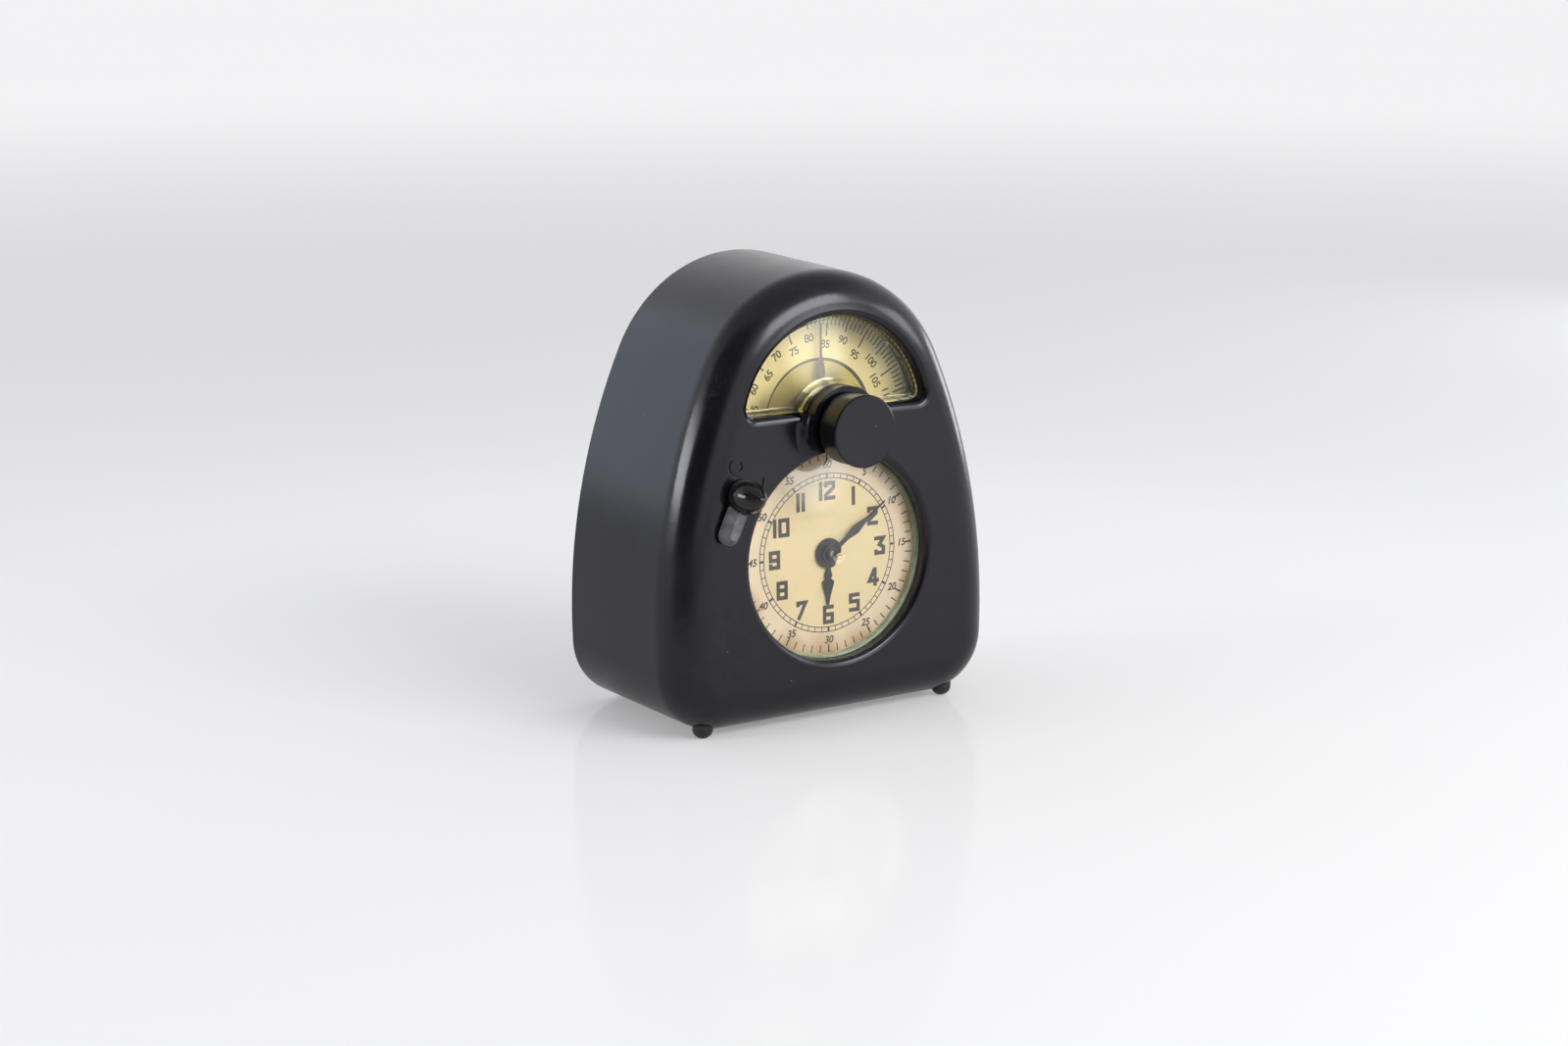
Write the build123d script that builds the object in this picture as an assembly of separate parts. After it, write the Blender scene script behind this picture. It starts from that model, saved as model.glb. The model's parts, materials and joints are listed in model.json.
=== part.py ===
from build123d import *
import math
import os

# Wind-up table clock with an interval timer, in millimetres.
# Case frame: y = 0 where the front meets the base line, +Y to the back, z = 0 at the underside.
# Works frame: the case frame leaned back by LEAN about X. A place in it is (u, depth, v): u to the
# right, depth behind the front face and v up the face. Angles are counter-clockwise from +u, seen
# from the front. The finished model stands on z = 0 with its origin under its middle.

os.makedirs("parts", exist_ok=True)

# Case
CASE_H = 161.5
CASE_D = 73.0
CASE_HALF_W = 69.9
WIDEST_Z = 34.7
SIDE_R = 229.1
CORNER_R = 23.7
LEAN = 2.0
DRAFT = 1.26
FRONT_R = 14.5
WALL = 3.2
REAR_WALL = 2.0
FOOT_H = 0.8
FOOT_R = 3.7
FOOT_ROUND = 3.3
FOOT_LAND = 0.3
COVER_Y = 64.0
COVER_T = 1.2

# Places on the face
CLOCK = (0.0, 60.0)
TIMER = (0.0, 106.8)
LEVER = (-41.5, 86.8)

# Openings
CLOCK_BORE_R = 37.5
CLOCK_LIP_R = 2.5
COLLAR_R = 41.0
CLOCK_DIAL_DEPTH = 9.2
WINDOW_R = 38.5
WINDOW_SILL = 5.9
WINDOW_LIP_R = 3.0
WINDOW_CORNER_R = 3.2
WINDOW_DEPTH = 13.0
WINDOW_WALL = 2.0
BOSS_R = 14.6
BOSS_PROUD = 4.0
BOSS_BLEND_R = 4.0
BOSS_REAR = 11.0

# Dials, glass and hands
DIAL_T = 0.6
CLOCK_DIAL_R = 39.3
TIMER_DIAL_R = 38.8
TIMER_DIAL_DEPTH = 14.0
GLASS_T = 2.0
HOUR_ANGLE = 181.5
MINUTE_ANGLE = 54.7

# Knob and lever
KNOB_R = 12.5
KNOB_FLANGE_R = 12.8
KNOB_REAR = -5.5
KNOB_FRONT = -16.1
LEVER_R = 6.0
LEVER_TIP = -14.5
LEVER_ARM = 18.0
LEVER_ANGLE = 245.0

# Movement plates and screws
PLATE_T = 1.2
FRONT_PLATE = 21.0
REAR_PLATE = 41.0
PLATE_EDGE = 5.5
PILLAR_R = 2.5
STUD_R = 1.2
STUD_OUT = 1.8
NUT_R = 2.9
NUT_T = 1.6
SCREW_R = 1.4
HEAD_R = 3.0
HEAD_T = 2.0
POST_R = 3.5
RUN_FIT = 0.05
PIVOT_R = 0.6

# Tooth counts and modules
GREAT_T, CENTRE_PINION_T, GREAT_M = 72, 12, 0.7
CENTRE_T, THIRD_PINION_T, CENTRE_M = 64, 8, 0.45
THIRD_T, FOURTH_PINION_T, THIRD_M = 60, 8, 0.45
FOURTH_T, ESCAPE_PINION_T, FOURTH_M = 64, 8, 0.4
CANNON_T, MINUTE_T, CANNON_M = 12, 36, 0.5
MINUTE_PINION_T, HOUR_T, HOUR_M = 10, 40, 0.48
MAIN_T, SECOND_PINION_T, MAIN_M = 80, 8, 0.45
SECOND_T, TIMER_ESCAPE_PINION_T, SECOND_M = 60, 8, 0.4
ESCAPE_TEETH = 15
ESCAPE_R = 6.2
RATCHET_TEETH = 24
RATCHET_R = 9.0


def polar(centre, radius, angle):
    """The point at this distance and angle from centre."""
    turn = math.radians(angle)
    return (centre[0] + radius * math.cos(turn), centre[1] + radius * math.sin(turn))


def mesh_distance(wheel_teeth, pinion_teeth, module):
    """Distance between the arbors of two wheels in mesh."""
    return module * (wheel_teeth + pinion_teeth) / 2


# Arbors of the clock train, each placed from the one before it
GREAT = polar(CLOCK, mesh_distance(GREAT_T, CENTRE_PINION_T, GREAT_M), 232.0)
THIRD = polar(CLOCK, mesh_distance(CENTRE_T, THIRD_PINION_T, CENTRE_M), 20.0)
FOURTH = polar(THIRD, mesh_distance(THIRD_T, FOURTH_PINION_T, THIRD_M), -60.0)
ESCAPE = polar(FOURTH, mesh_distance(FOURTH_T, ESCAPE_PINION_T, FOURTH_M), -95.0)
PALLET = polar(ESCAPE, 10.0, -100.0)
BALANCE = polar(PALLET, 13.0, -150.0)
MINUTE = polar(CLOCK, mesh_distance(CANNON_T, MINUTE_T, CANNON_M), -90.0)

# Arbors of the timer train
SECOND = polar(TIMER, mesh_distance(MAIN_T, SECOND_PINION_T, MAIN_M), 25.0)
TIMER_ESCAPE = polar(SECOND, mesh_distance(SECOND_T, TIMER_ESCAPE_PINION_T, SECOND_M), 120.0)
VERGE = polar(TIMER_ESCAPE, 9.5, 90.0)
BELL = (14.0, 118.0)
BELL_R = 19.0
BELL_FRONT = 46.0
BELL_BACK = 55.6
BELL_T = 1.1
HAMMER = (-22.0, 100.0)
HAMMER_HEAD_R = 2.6
HAMMER_GAP = 0.6

# Depth of the front and the back of each wheel, pinion, spring, hand and arm
HOUR_HAND_LAYER = (8.3, 8.8)
MINUTE_HAND_LAYER = (6.9, 7.3)
POINTER_LAYER = (11.7, 12.2)
HOUR_WHEEL_LAYER = (15.6, 16.6)
MINUTE_WHEEL_LAYER = (18.0, 19.0)
MINUTE_PINION_LAYER = (15.3, 18.1)
CANNON_LAYER = (17.5, 20.5)
RATCHET_LAYER = (24.3, 25.8)
GREAT_LAYER = (27.0, 29.0)
MAINSPRING_LAYER = (30.5, 39.5)
CENTRE_PINION_LAYER = (26.0, 30.5)
CENTRE_LAYER = (36.0, 37.0)
THIRD_PINION_LAYER = (35.0, 38.6)
THIRD_LAYER = (31.5, 32.4)
FOURTH_PINION_LAYER = (30.4, 33.6)
FOURTH_LAYER = (25.5, 26.2)
ESCAPE_PINION_LAYER = (24.6, 27.2)
ESCAPE_LAYER = (35.0, 35.7)
PALLET_LAYER = (34.8, 35.7)
BALANCE_LAYER = (37.6, 38.8)
HAIRSPRING_LAYER = (39.4, 40.1)
MAIN_LAYER = (24.5, 25.7)
SECOND_PINION_LAYER = (23.4, 27.0)
SECOND_LAYER = (29.0, 29.8)
TIMER_ESCAPE_PINION_LAYER = (28.0, 31.0)
TIMER_ESCAPE_LAYER = (34.0, 34.7)
VERGE_LAYER = (34.0, 34.8)
TIMER_SPRING_LAYER = (31.0, 38.0)
SHUTOFF_LAYER = (45.0, 46.4)
HAMMER_LAYER = (47.2, 48.4)

CLOCK_PILLARS = [(-34.0, 70.0), (-40.0, 16.0), (32.0, 14.0), (38.0, 70.0)]
CLOCK_EARS = [(-48.0, 44.0), (48.0, 44.0), (0.0, 13.0)]
TIMER_PILLARS = [(-30.0, 95.0), (30.0, 95.0), (-26.0, 134.0), (26.0, 134.0)]
TIMER_EARS = [(-46.0, 104.0), (46.0, 104.0), (0.0, 150.6)]
DIAL_FEET = [polar(CLOCK, 33.0, angle) for angle in (-150.0, -90.0, -30.0)]
# Each foot as (x, y, height of its top above the base line)
FOOT_PLACES = [(-51.7, 11.3, 4.6), (51.7, 11.3, 4.6), (-33.0, 60.0, 1.9), (33.0, 60.0, 1.9)]
COVER_SCREWS = [(-62.5, 20.0), (62.5, 20.0), (-42.0, 132.0), (42.0, 132.0)]


# ---------------------------------------------------------------- helpers
STANDS_BELOW = (Align.CENTER, Align.CENTER, Align.MAX)


def at(place, shape):
    """Move a shape drawn about the depth axis to a place on the face."""
    return Pos(place[0], 0, place[1]) * shape


def disc(radius, start, end):
    """A cylinder along the depth axis between two depths."""
    return Pos(0, (start + end) / 2, 0) * Rot(90, 0, 0) * Cylinder(radius, abs(end - start))


def ring(outer, inner, start, end):
    """A tube along the depth axis between two depths."""
    return disc(outer, start, end) - disc(inner, start - 1, end + 1)


def prism(sketch, start, end):
    """A sketch of the face, made solid between two depths."""
    return extrude(Plane.XZ.offset(-end) * sketch, amount=end - start)


def turned(*edges):
    """A turned solid: its section is drawn as (radius, depth) and closed by straight lines."""
    return revolve(make_face(Wire(edges)), Axis.Y)


def stepped(*steps):
    """A turned shaft of (radius, start, end) steps."""
    solid = disc(*steps[0])
    for step in steps[1:]:
        solid += disc(*step)
    return solid


def hull(places, radius):
    """The outline of a plate that wraps discs at these places."""
    rims = [(Pos(*place) * Circle(radius)).edges()[0] for place in places]
    return make_hull(rims)


def outline_through(points):
    """A closed straight-sided outline."""
    return make_face(Polyline(*points, close=True))


def bar(start, end, width):
    """A round-ended bar between two points."""
    length = math.dist(start, end)
    turn = math.degrees(math.atan2(end[1] - start[1], end[0] - start[0]))
    middle = ((start[0] + end[0]) / 2, (start[1] + end[1]) / 2)
    return Pos(*middle) * Rot(0, 0, turn) * SlotCenterToCenter(length, width)


def lean(shape):
    """From the works frame into the case frame."""
    return Rot(-LEAN, 0, 0) * shape


# ---------------------------------------------------------------- gear teeth
def epicycloid_turn(pitch_r, roll_r, height):
    """Angle turned by an epicycloid at a height above the pitch circle."""
    r = pitch_r + height
    reach = pitch_r + roll_r
    cosine = (reach**2 + roll_r**2 - r**2) / (2 * roll_r * reach)
    roll = math.acos(max(-1.0, min(1.0, cosine)))
    return roll_r * roll / pitch_r - math.atan2(
        roll_r * math.sin(roll), reach - roll_r * math.cos(roll)
    )


def toothed(teeth, flank, root_r, phase):
    """A toothed outline: flank lists (radius, half angle) from the root to the tip."""
    points = []
    for tooth in range(teeth):
        middle = phase + 360.0 * tooth / teeth
        rising = [(root_r, flank[0][1])] + flank
        for radius, half in rising:
            points.append(polar((0, 0), radius, middle - math.degrees(half)))
        for radius, half in reversed(rising):
            points.append(polar((0, 0), radius, middle + math.degrees(half)))
    return outline_through(points)


def wheel_outline(teeth, module, mate_teeth, phase):
    """Cycloidal wheel teeth that drive a pinion of mate_teeth leaves."""
    pitch_r = module * teeth / 2
    half = math.pi / (2 * teeth) - 0.02 * module / pitch_r
    heights = [0.0, 0.4 * module, 0.8 * module, 1.1 * module]
    flank = []
    for height in heights:
        turn = epicycloid_turn(pitch_r, module * mate_teeth / 4, height)
        flank.append((pitch_r + height, max(half - turn, 0.08 * module / pitch_r)))
    return toothed(teeth, flank, pitch_r - 1.3 * module, phase)


def pinion_outline(leaves, module, phase):
    """Pinion leaves with radial flanks and rounded tips."""
    pitch_r = module * leaves / 2
    half = 0.52 * module / pitch_r
    tips = [(0.0, 1.0), (0.3, 0.85), (0.5, 0.5)]
    flank = [(pitch_r + up * module, half * part) for up, part in tips]
    return toothed(leaves, flank, pitch_r - 1.5 * module, phase)


def mate_phase(teeth, phase, angle, leaves):
    """Phase that puts a gap of the driven pinion on the driving tooth, along the line of centres."""
    pitch = 360.0 / teeth
    ahead = (phase - angle + pitch / 2) % pitch - pitch / 2
    return angle + 180.0 + 180.0 / leaves - ahead * teeth / leaves


def spoked(outline, rim_r, hub_r, spoke_w, spokes):
    """Cut a wheel's web away between its rim, hub and spokes."""
    sketch = outline - Circle(rim_r) + Circle(hub_r)
    for spoke in range(spokes):
        turn = 360.0 * spoke / spokes
        sketch += Rot(0, 0, turn) * Pos(rim_r / 2, 0) * Rectangle(rim_r + 0.4, spoke_w)
    return sketch


def angle_between(start, end):
    """Angle of the line from one arbor to the next."""
    return math.degrees(math.atan2(end[1] - start[1], end[0] - start[0]))


# Phases that keep every pair in mesh at rest
CENTRE_PHASE = 0.0
THIRD_PINION_PHASE = mate_phase(CENTRE_T, CENTRE_PHASE, angle_between(CLOCK, THIRD), THIRD_PINION_T)
FOURTH_PINION_PHASE = mate_phase(THIRD_T, 0.0, angle_between(THIRD, FOURTH), FOURTH_PINION_T)
ESCAPE_PINION_PHASE = mate_phase(FOURTH_T, 0.0, angle_between(FOURTH, ESCAPE), ESCAPE_PINION_T)
CENTRE_PINION_PHASE = mate_phase(GREAT_T, 0.0, angle_between(GREAT, CLOCK), CENTRE_PINION_T)
CANNON_PHASE = mate_phase(MINUTE_T, 0.0, angle_between(MINUTE, CLOCK), CANNON_T)
MINUTE_PINION_PHASE = mate_phase(HOUR_T, 0.0, angle_between(CLOCK, MINUTE), MINUTE_PINION_T)
SECOND_PINION_PHASE = mate_phase(MAIN_T, 0.0, angle_between(TIMER, SECOND), SECOND_PINION_T)
TIMER_ESCAPE_PINION_PHASE = mate_phase(
    SECOND_T, 0.0, angle_between(SECOND, TIMER_ESCAPE), TIMER_ESCAPE_PINION_T
)


# ---------------------------------------------------------------- case
def unit(vector):
    length = math.hypot(*vector)
    return (vector[0] / length, vector[1] / length)


def arc(centre, radius, start, end):
    """An arc about centre from one direction to another, both unit vectors."""
    middle = unit((start[0] + end[0], start[1] + end[1]))
    ends = [
        (centre[0] + radius * way[0], centre[1] + radius * way[1]) for way in (start, middle, end)
    ]
    return ThreePointArc(*ends)


def case_outline(inset):
    """Flat base, two corner arcs, two long side arcs and the top arc, all tangent."""
    rise = CASE_H - WIDEST_Z
    side_x = CASE_HALF_W - SIDE_R
    top_r = (SIDE_R**2 - side_x**2 - rise**2) / (2 * (SIDE_R - rise))
    corner_x = side_x + math.sqrt((SIDE_R - CORNER_R) ** 2 - (CORNER_R - WIDEST_Z) ** 2)
    to_top = unit((-side_x, CASE_H - top_r - WIDEST_Z))
    to_corner = unit((corner_x - side_x, CORNER_R - WIDEST_Z))
    edges = [
        arc((0, CASE_H - top_r), top_r - inset, to_top, (-to_top[0], to_top[1])),
        Line((-corner_x, inset), (corner_x, inset)),
    ]
    for side in (1, -1):
        towards = (side * to_corner[0], to_corner[1])
        corner = (side * corner_x, CORNER_R)
        edges.append(arc(corner, CORNER_R - inset, (0, -1), towards))
        middle = (side * side_x, WIDEST_Z)
        edges.append(arc(middle, SIDE_R - inset, towards, (side * to_top[0], to_top[1])))
    return make_face(edges)


def case_body(inset, front, front_r):
    """The drafted body between the back and the leaning front face, with its front edge rounded."""
    run = CASE_D + 12.0
    block = extrude(Plane.XZ.offset(-CASE_D) * case_outline(inset), amount=run, taper=DRAFT)
    block -= lean(Pos(0, front - 50, CASE_H / 2) * Box(300, 100, 400))
    rim = block.faces().sort_by(Axis.Y)[0].edges()
    return fillet(rim, front_r)


def window_sketch(grow):
    """The half-round window, about the knob axis, with rounded corners, grown by an offset."""
    upper = Pos(0, WINDOW_SILL - grow + 50) * Rectangle(200, 100)
    window = Circle(WINDOW_R + grow) & upper
    return fillet(window.vertices(), WINDOW_CORNER_R + grow)


def boss_solid():
    """The moulded boss round the knob axis, blended into the face."""
    boss = disc(BOSS_R, -BOSS_PROUD, BOSS_REAR)
    foot_r = BOSS_R + BOSS_BLEND_R
    bend = BOSS_BLEND_R * (1 - math.sqrt(0.5))
    blend = turned(
        Line((BOSS_R - 1, -BOSS_PROUD), (BOSS_R, -BOSS_PROUD)),
        ThreePointArc((BOSS_R, -BOSS_BLEND_R), (BOSS_R + bend, -bend), (foot_r, 0)),
        Line((foot_r, 0), (foot_r, 1)),
        Line((foot_r, 1), (BOSS_R - 1, 1)),
        Line((BOSS_R - 1, 1), (BOSS_R - 1, -BOSS_PROUD)),
    )
    under = Pos(0, (4 + BOSS_REAR + 1) / 2, -10) * Box(40, BOSS_REAR - 3, 12.4)
    return at(TIMER, boss + blend - under)


def flared(radius, lip):
    """The cutter for a round opening in the face, with its rounded lip."""
    outer = radius + lip
    bend = lip * (1 - math.sqrt(0.5))
    return turned(
        Line((0, -12), (outer, -12)),
        Line((outer, -12), (outer, 0)),
        ThreePointArc((outer, 0), (radius + bend, bend), (radius, lip)),
        Line((radius, lip), (0, lip)),
        Line((0, lip), (0, -12)),
    )


def clock_opening():
    bore = disc(CLOCK_BORE_R, -12, 12)
    return at(CLOCK, bore + flared(CLOCK_BORE_R, CLOCK_LIP_R))


def window_lip():
    """The rounded lip of the window, as a cutter: along its arc, round its corners, along its sill."""
    r = WINDOW_LIP_R
    far = 3 * WINDOW_R
    corner_z = WINDOW_SILL + WINDOW_CORNER_R
    corner_x = math.sqrt((WINDOW_R - WINDOW_CORNER_R) ** 2 - corner_z**2)
    ray = (far, far * corner_z / corner_x)
    above = Polygon((0, 0), ray, (0, 2 * far), (-ray[0], ray[1]), align=None)
    lip = flared(WINDOW_R, r) & prism(above, -12, r)
    turn = flared(WINDOW_CORNER_R, r) & prism(Polygon((0, 0), (0, -far), ray, align=None), -12, r)
    corner = Pos(corner_x, 0, corner_z) * turn
    sill = Pos(0, (r - 12) / 2, WINDOW_SILL - r / 2) * Box(2 * corner_x, r + 12, r)
    sill -= Pos(0, r, WINDOW_SILL - r) * Rot(0, 90, 0) * Cylinder(r, 2 * WINDOW_R)
    return lip + corner + mirror(corner, about=Plane.YZ) + sill


def window_opening():
    """The cutter for the timer window, which leaves the boss standing in it."""
    hole = prism(window_sketch(0.0) - Circle(BOSS_R), -10, WINDOW_DEPTH + 10)
    return at(TIMER, hole + (window_lip() - disc(BOSS_R + 2, -20, 20)))


def raised_marks():
    """A ring and a bar beside the lever, for its two positions."""
    off = at((-42.7, 96.8), ring(2.9, 2.1, -0.45, 1))
    on = at((-31.8, 89.4), prism(Rot(0, 0, -14) * Rectangle(1.1, 5.2), -0.45, 1))
    return off + on


def screw_posts(outer):
    """Moulded posts inside the case for the plates and the back cover, with their pilot holes."""
    posts = []
    for place in CLOCK_EARS + TIMER_EARS:
        posts.append(lean(at(place, disc(POST_R, 0.5, FRONT_PLATE))) & outer)
    for x, z in COVER_SCREWS:
        posts.append((Pos(x, 0, z) * disc(POST_R + 0.5, COVER_Y - 18, COVER_Y)) & outer)
    holes = [lean(at(place, disc(SCREW_R, 12, 22))) for place in CLOCK_EARS + TIMER_EARS]
    holes += [Pos(x, 0, z) * disc(SCREW_R, COVER_Y - 10, COVER_Y + 1) for x, z in COVER_SCREWS]
    return posts, holes


def make_case():
    outer = case_body(0.0, 0.0, FRONT_R)
    shell = outer + lean(raised_marks())
    shell -= case_body(WALL, WALL, FRONT_R - WALL)
    mouth = Plane.XZ.offset(-CASE_D - 1) * case_outline(REAR_WALL)
    recess = extrude(mouth, amount=CASE_D + 1 - COVER_Y, taper=DRAFT)
    shell -= recess
    collars = at(CLOCK, ring(COLLAR_R, CLOCK_BORE_R, 0.5, CLOCK_DIAL_DEPTH))
    sleeve = prism(window_sketch(WINDOW_WALL) - window_sketch(0.0), 0.5, WINDOW_DEPTH)
    collars += at(TIMER, sleeve - disc(BOSS_R - 1, -1, 20)) + at(LEVER, disc(5.0, 1, 6.0))
    shell += lean(collars) & outer
    shell += lean(boss_solid())
    posts, holes = screw_posts(outer)
    for post in posts:
        shell += post
    for hole in holes:
        shell -= hole
    shell -= lean(clock_opening())
    shell -= lean(window_opening())
    shell -= lean(at(TIMER, disc(4.0, -10, 20)))
    shell -= lean(at(LEVER, disc(2.0 + RUN_FIT, -10, 20)))
    for x, y, top in FOOT_PLACES:
        shell -= Pos(x, y, top) * Cylinder(FOOT_R, top + 4, align=STANDS_BELOW)
    return shell


def make_feet():
    """Four rubber buttons set into shallow sockets in the underside."""
    feet = []
    for x, y, top in FOOT_PLACES:
        button = Cylinder(FOOT_R, top + FOOT_H, align=STANDS_BELOW)
        button = fillet(button.edges().sort_by(Axis.Z)[0], min(FOOT_ROUND, top + FOOT_H - FOOT_LAND))
        feet.append(Pos(x, y, top) * button)
    return Compound(children=feet)


def make_back_cover():
    """Pressed steel cover in the rear recess, with holes for the key, setting knob and regulator."""
    cover = extrude(
        Plane.XZ.offset(-COVER_Y - COVER_T) * case_outline(REAR_WALL + 0.5), amount=COVER_T
    )
    through = (COVER_Y - 5, COVER_Y + 5)
    for place, radius in ((GREAT, 5.0), (CLOCK, 3.5)):
        cover -= lean(at(place, disc(radius, COVER_Y - 12, COVER_Y + 8)))
    sector = outline_through([(0, 0), polar((0, 0), 30, -122), polar((0, 0), 30, -58)])
    slot = prism((Circle(13.8) - Circle(10.2)) & sector, *through)
    cover -= lean(at(BALANCE, slot))
    for x, z in COVER_SCREWS:
        cover -= Pos(x, 0, z) * disc(SCREW_R + 0.1, *through)
    for row in range(6):
        louvre = SlotOverall(34, 2.6)
        cover -= Pos(0, 0, 102 + 6.0 * row) * prism(louvre, *through)
    return cover


def make_cover_screws():
    screws = []
    for x, z in COVER_SCREWS:
        face = COVER_Y + COVER_T
        screw = disc(SCREW_R, COVER_Y - 8, face) + disc(HEAD_R, face, face + 1.6)
        screw -= Pos(0, face + 1.6, 0) * Box(8, 1.4, 0.8)
        screws.append(Pos(x, 0, z) * screw)
    return Compound(children=screws)


# ---------------------------------------------------------------- glass and dials
def dome(radius, apex, rim, thick):
    """A domed glass: a shallow spherical shell on a flat-edged rim."""
    def sag(r):
        sphere = (radius**2 + (rim - apex) ** 2) / (2 * (rim - apex))
        return sphere - math.sqrt(sphere**2 - r**2)

    half = radius / 2
    return turned(
        ThreePointArc((0, apex), (half, apex + sag(half)), (radius, rim)),
        Line((radius, rim), (radius, rim + thick)),
        ThreePointArc((radius, rim + thick), (half, apex + thick + sag(half)), (0, apex + thick)),
        Line((0, apex + thick), (0, apex)),
    )


def make_clock_glass():
    return at(CLOCK, dome(CLOCK_BORE_R - 0.15, 1.0, 5.0, GLASS_T))


def make_glass_ring():
    return at(CLOCK, ring(CLOCK_BORE_R - 0.05, CLOCK_BORE_R - 0.9, 7.0, CLOCK_DIAL_DEPTH))


def make_timer_lens():
    """A domed lens with a skirt, cut away round the boss."""
    def cap(shift, grow, notch, end):
        sphere = (WINDOW_R**2 + 4.2**2) / (2 * 4.2)
        ball = Pos(0, 0.8 + shift + sphere, 0) * Sphere(sphere)
        return prism(window_sketch(grow) - Circle(notch), -2, end) & ball

    skin = 1.4
    lens = cap(0.0, -0.25, BOSS_R + 0.3, 8.0)
    lens -= cap(skin, -0.25 - skin, BOSS_R + 0.3 + skin, 9.0)
    return at(TIMER, lens)


def make_clock_dial():
    return at(CLOCK, ring(CLOCK_DIAL_R, 3.4, CLOCK_DIAL_DEPTH, CLOCK_DIAL_DEPTH + DIAL_T))


def make_dial_feet():
    back = CLOCK_DIAL_DEPTH + DIAL_T
    foot = disc(1.2, back, FRONT_PLATE + PLATE_T)
    return Compound(children=[at(place, foot) for place in DIAL_FEET])


def make_timer_dial():
    return at(TIMER, ring(TIMER_DIAL_R, 4.0, TIMER_DIAL_DEPTH, TIMER_DIAL_DEPTH + DIAL_T))


def make_timer_pointer():
    """A fixed leaf pointer on a ring round the bush."""
    leaf = outline_through(
        [(-0.5, 5), (-0.7, 12), (-1.7, 18.2), (-0.45, 24), (-0.3, 35.2), (0.3, 35.2), (0.45, 24),
         (1.7, 18.2), (0.7, 12), (0.5, 5)]
    )
    return at(TIMER, prism(leaf + Circle(6.0) - Circle(4.0), *POINTER_LAYER))


def lance(points):
    """A hand's outline, mirrored about +Y, from (half width, distance) pairs."""
    left = [(-half, out) for half, out in points]
    right = [(half, out) for half, out in reversed(points)]
    return outline_through(left + right)


def make_hour_hand():
    neck = [(1.0, 2), (0.8, 5.6), (1.6, 8.3), (0.9, 9.1)]
    blade = lance(neck + [(2.4, 10.3), (2.3, 11.0), (0.85, 15.8), (0.4, 18.7)])
    outline = Rot(0, 0, -HOUR_ANGLE) * (blade + Circle(5.4)) - Circle(2.9)
    return at(CLOCK, prism(outline, *HOUR_HAND_LAYER))


def make_minute_hand():
    blade = lance([(0.9, 2), (0.7, 8.5), (1.7, 13.0), (1.5, 14.5), (0.5, 19.5), (0.2, 28.6)])
    outline = Rot(0, 0, -MINUTE_ANGLE) * (blade + Circle(3.4)) - Circle(2.0)
    return at(CLOCK, prism(outline, *MINUTE_HAND_LAYER))


# ---------------------------------------------------------------- knob and lever
def make_timer_knob():
    rim = KNOB_FLANGE_R
    knob = turned(
        Line((0, KNOB_FRONT), (rim - 0.5, KNOB_FRONT)),
        Line((rim - 0.5, KNOB_FRONT), (rim, KNOB_FRONT + 0.5)),
        Line((rim, KNOB_FRONT + 0.5), (rim, KNOB_FRONT + 1.5)),
        Line((rim, KNOB_FRONT + 1.5), (KNOB_R, KNOB_FRONT + 2.0)),
        Line((KNOB_R, KNOB_FRONT + 2.0), (KNOB_R, KNOB_REAR - 0.5)),
        Line((KNOB_R, KNOB_REAR - 0.5), (KNOB_R - 0.5, KNOB_REAR)),
        Line((KNOB_R - 0.5, KNOB_REAR), (0, KNOB_REAR)),
        Line((0, KNOB_REAR), (0, KNOB_FRONT)),
    )
    knob -= disc(2.5, -13.0, 0)
    knob -= Pos(0, -9.5, -7) * Cylinder(1.5, 14)
    return at(TIMER, knob)


def make_knob_screw():
    screw = Pos(0, -9.5, -2.5) * Cylinder(1.5, 5.5, align=STANDS_BELOW)
    screw -= Pos(0, -9.5, -8) * Box(0.6, 4, 1.6)
    return at(TIMER, screw)


def make_lever():
    """Glossy pointed bullet over the pivot with a faceted arm that points down."""
    bullet = turned(
        ThreePointArc((0, LEVER_TIP), (1.0, LEVER_TIP + 0.3), (1.7, LEVER_TIP + 1.1)),
        ThreePointArc((1.7, LEVER_TIP + 1.1), (4.7, LEVER_TIP + 4.9), (LEVER_R, LEVER_TIP + 9.6)),
        Line((LEVER_R, LEVER_TIP + 9.6), (LEVER_R - 0.6, -1.0)),
        Line((LEVER_R - 0.6, -1.0), (0, -1.0)),
        Line((0, -1.0), (0, LEVER_TIP)),
    )
    half = 3.75
    facets = [(-1.2, -half), (-1.2, half), (-3.0, half), (-5.6, 1.6), (-5.6, -1.6), (-3.0, -half)]
    section = Plane.YZ * outline_through(facets)
    arm = extrude(section, amount=LEVER_ARM - half)
    end = turned(
        Line((0, -1.2), (half, -1.2)),
        Line((half, -1.2), (half, -3.0)),
        Line((half, -3.0), (1.6, -5.6)),
        Line((1.6, -5.6), (0, -5.6)),
        Line((0, -5.6), (0, -1.2)),
    )
    arm += Pos(LEVER_ARM - half, 0, 0) * end
    lever = bullet + Rot(0, -LEVER_ANGLE, 0) * arm
    lever -= disc(2.0, -6.0, 1)
    return at(LEVER, lever)


def make_lever_shaft():
    shaft = disc(2.0, -6.0, 46.6) - ring(3.0, 1.6, 6.9, 7.5)
    return at(LEVER, shaft)


def make_spring_washer():
    section = outline_through([(2.1, 6.1), (4.4, 6.3), (4.4, 6.7), (2.1, 6.5)])
    return at(LEVER, revolve(section, Axis.Y))


def make_lever_clip():
    clip = ring(3.8, 1.6, 6.9, 7.5) - Pos(0, 7.2, -3) * Box(2.6, 2, 4)
    return at(LEVER, clip)


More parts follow.
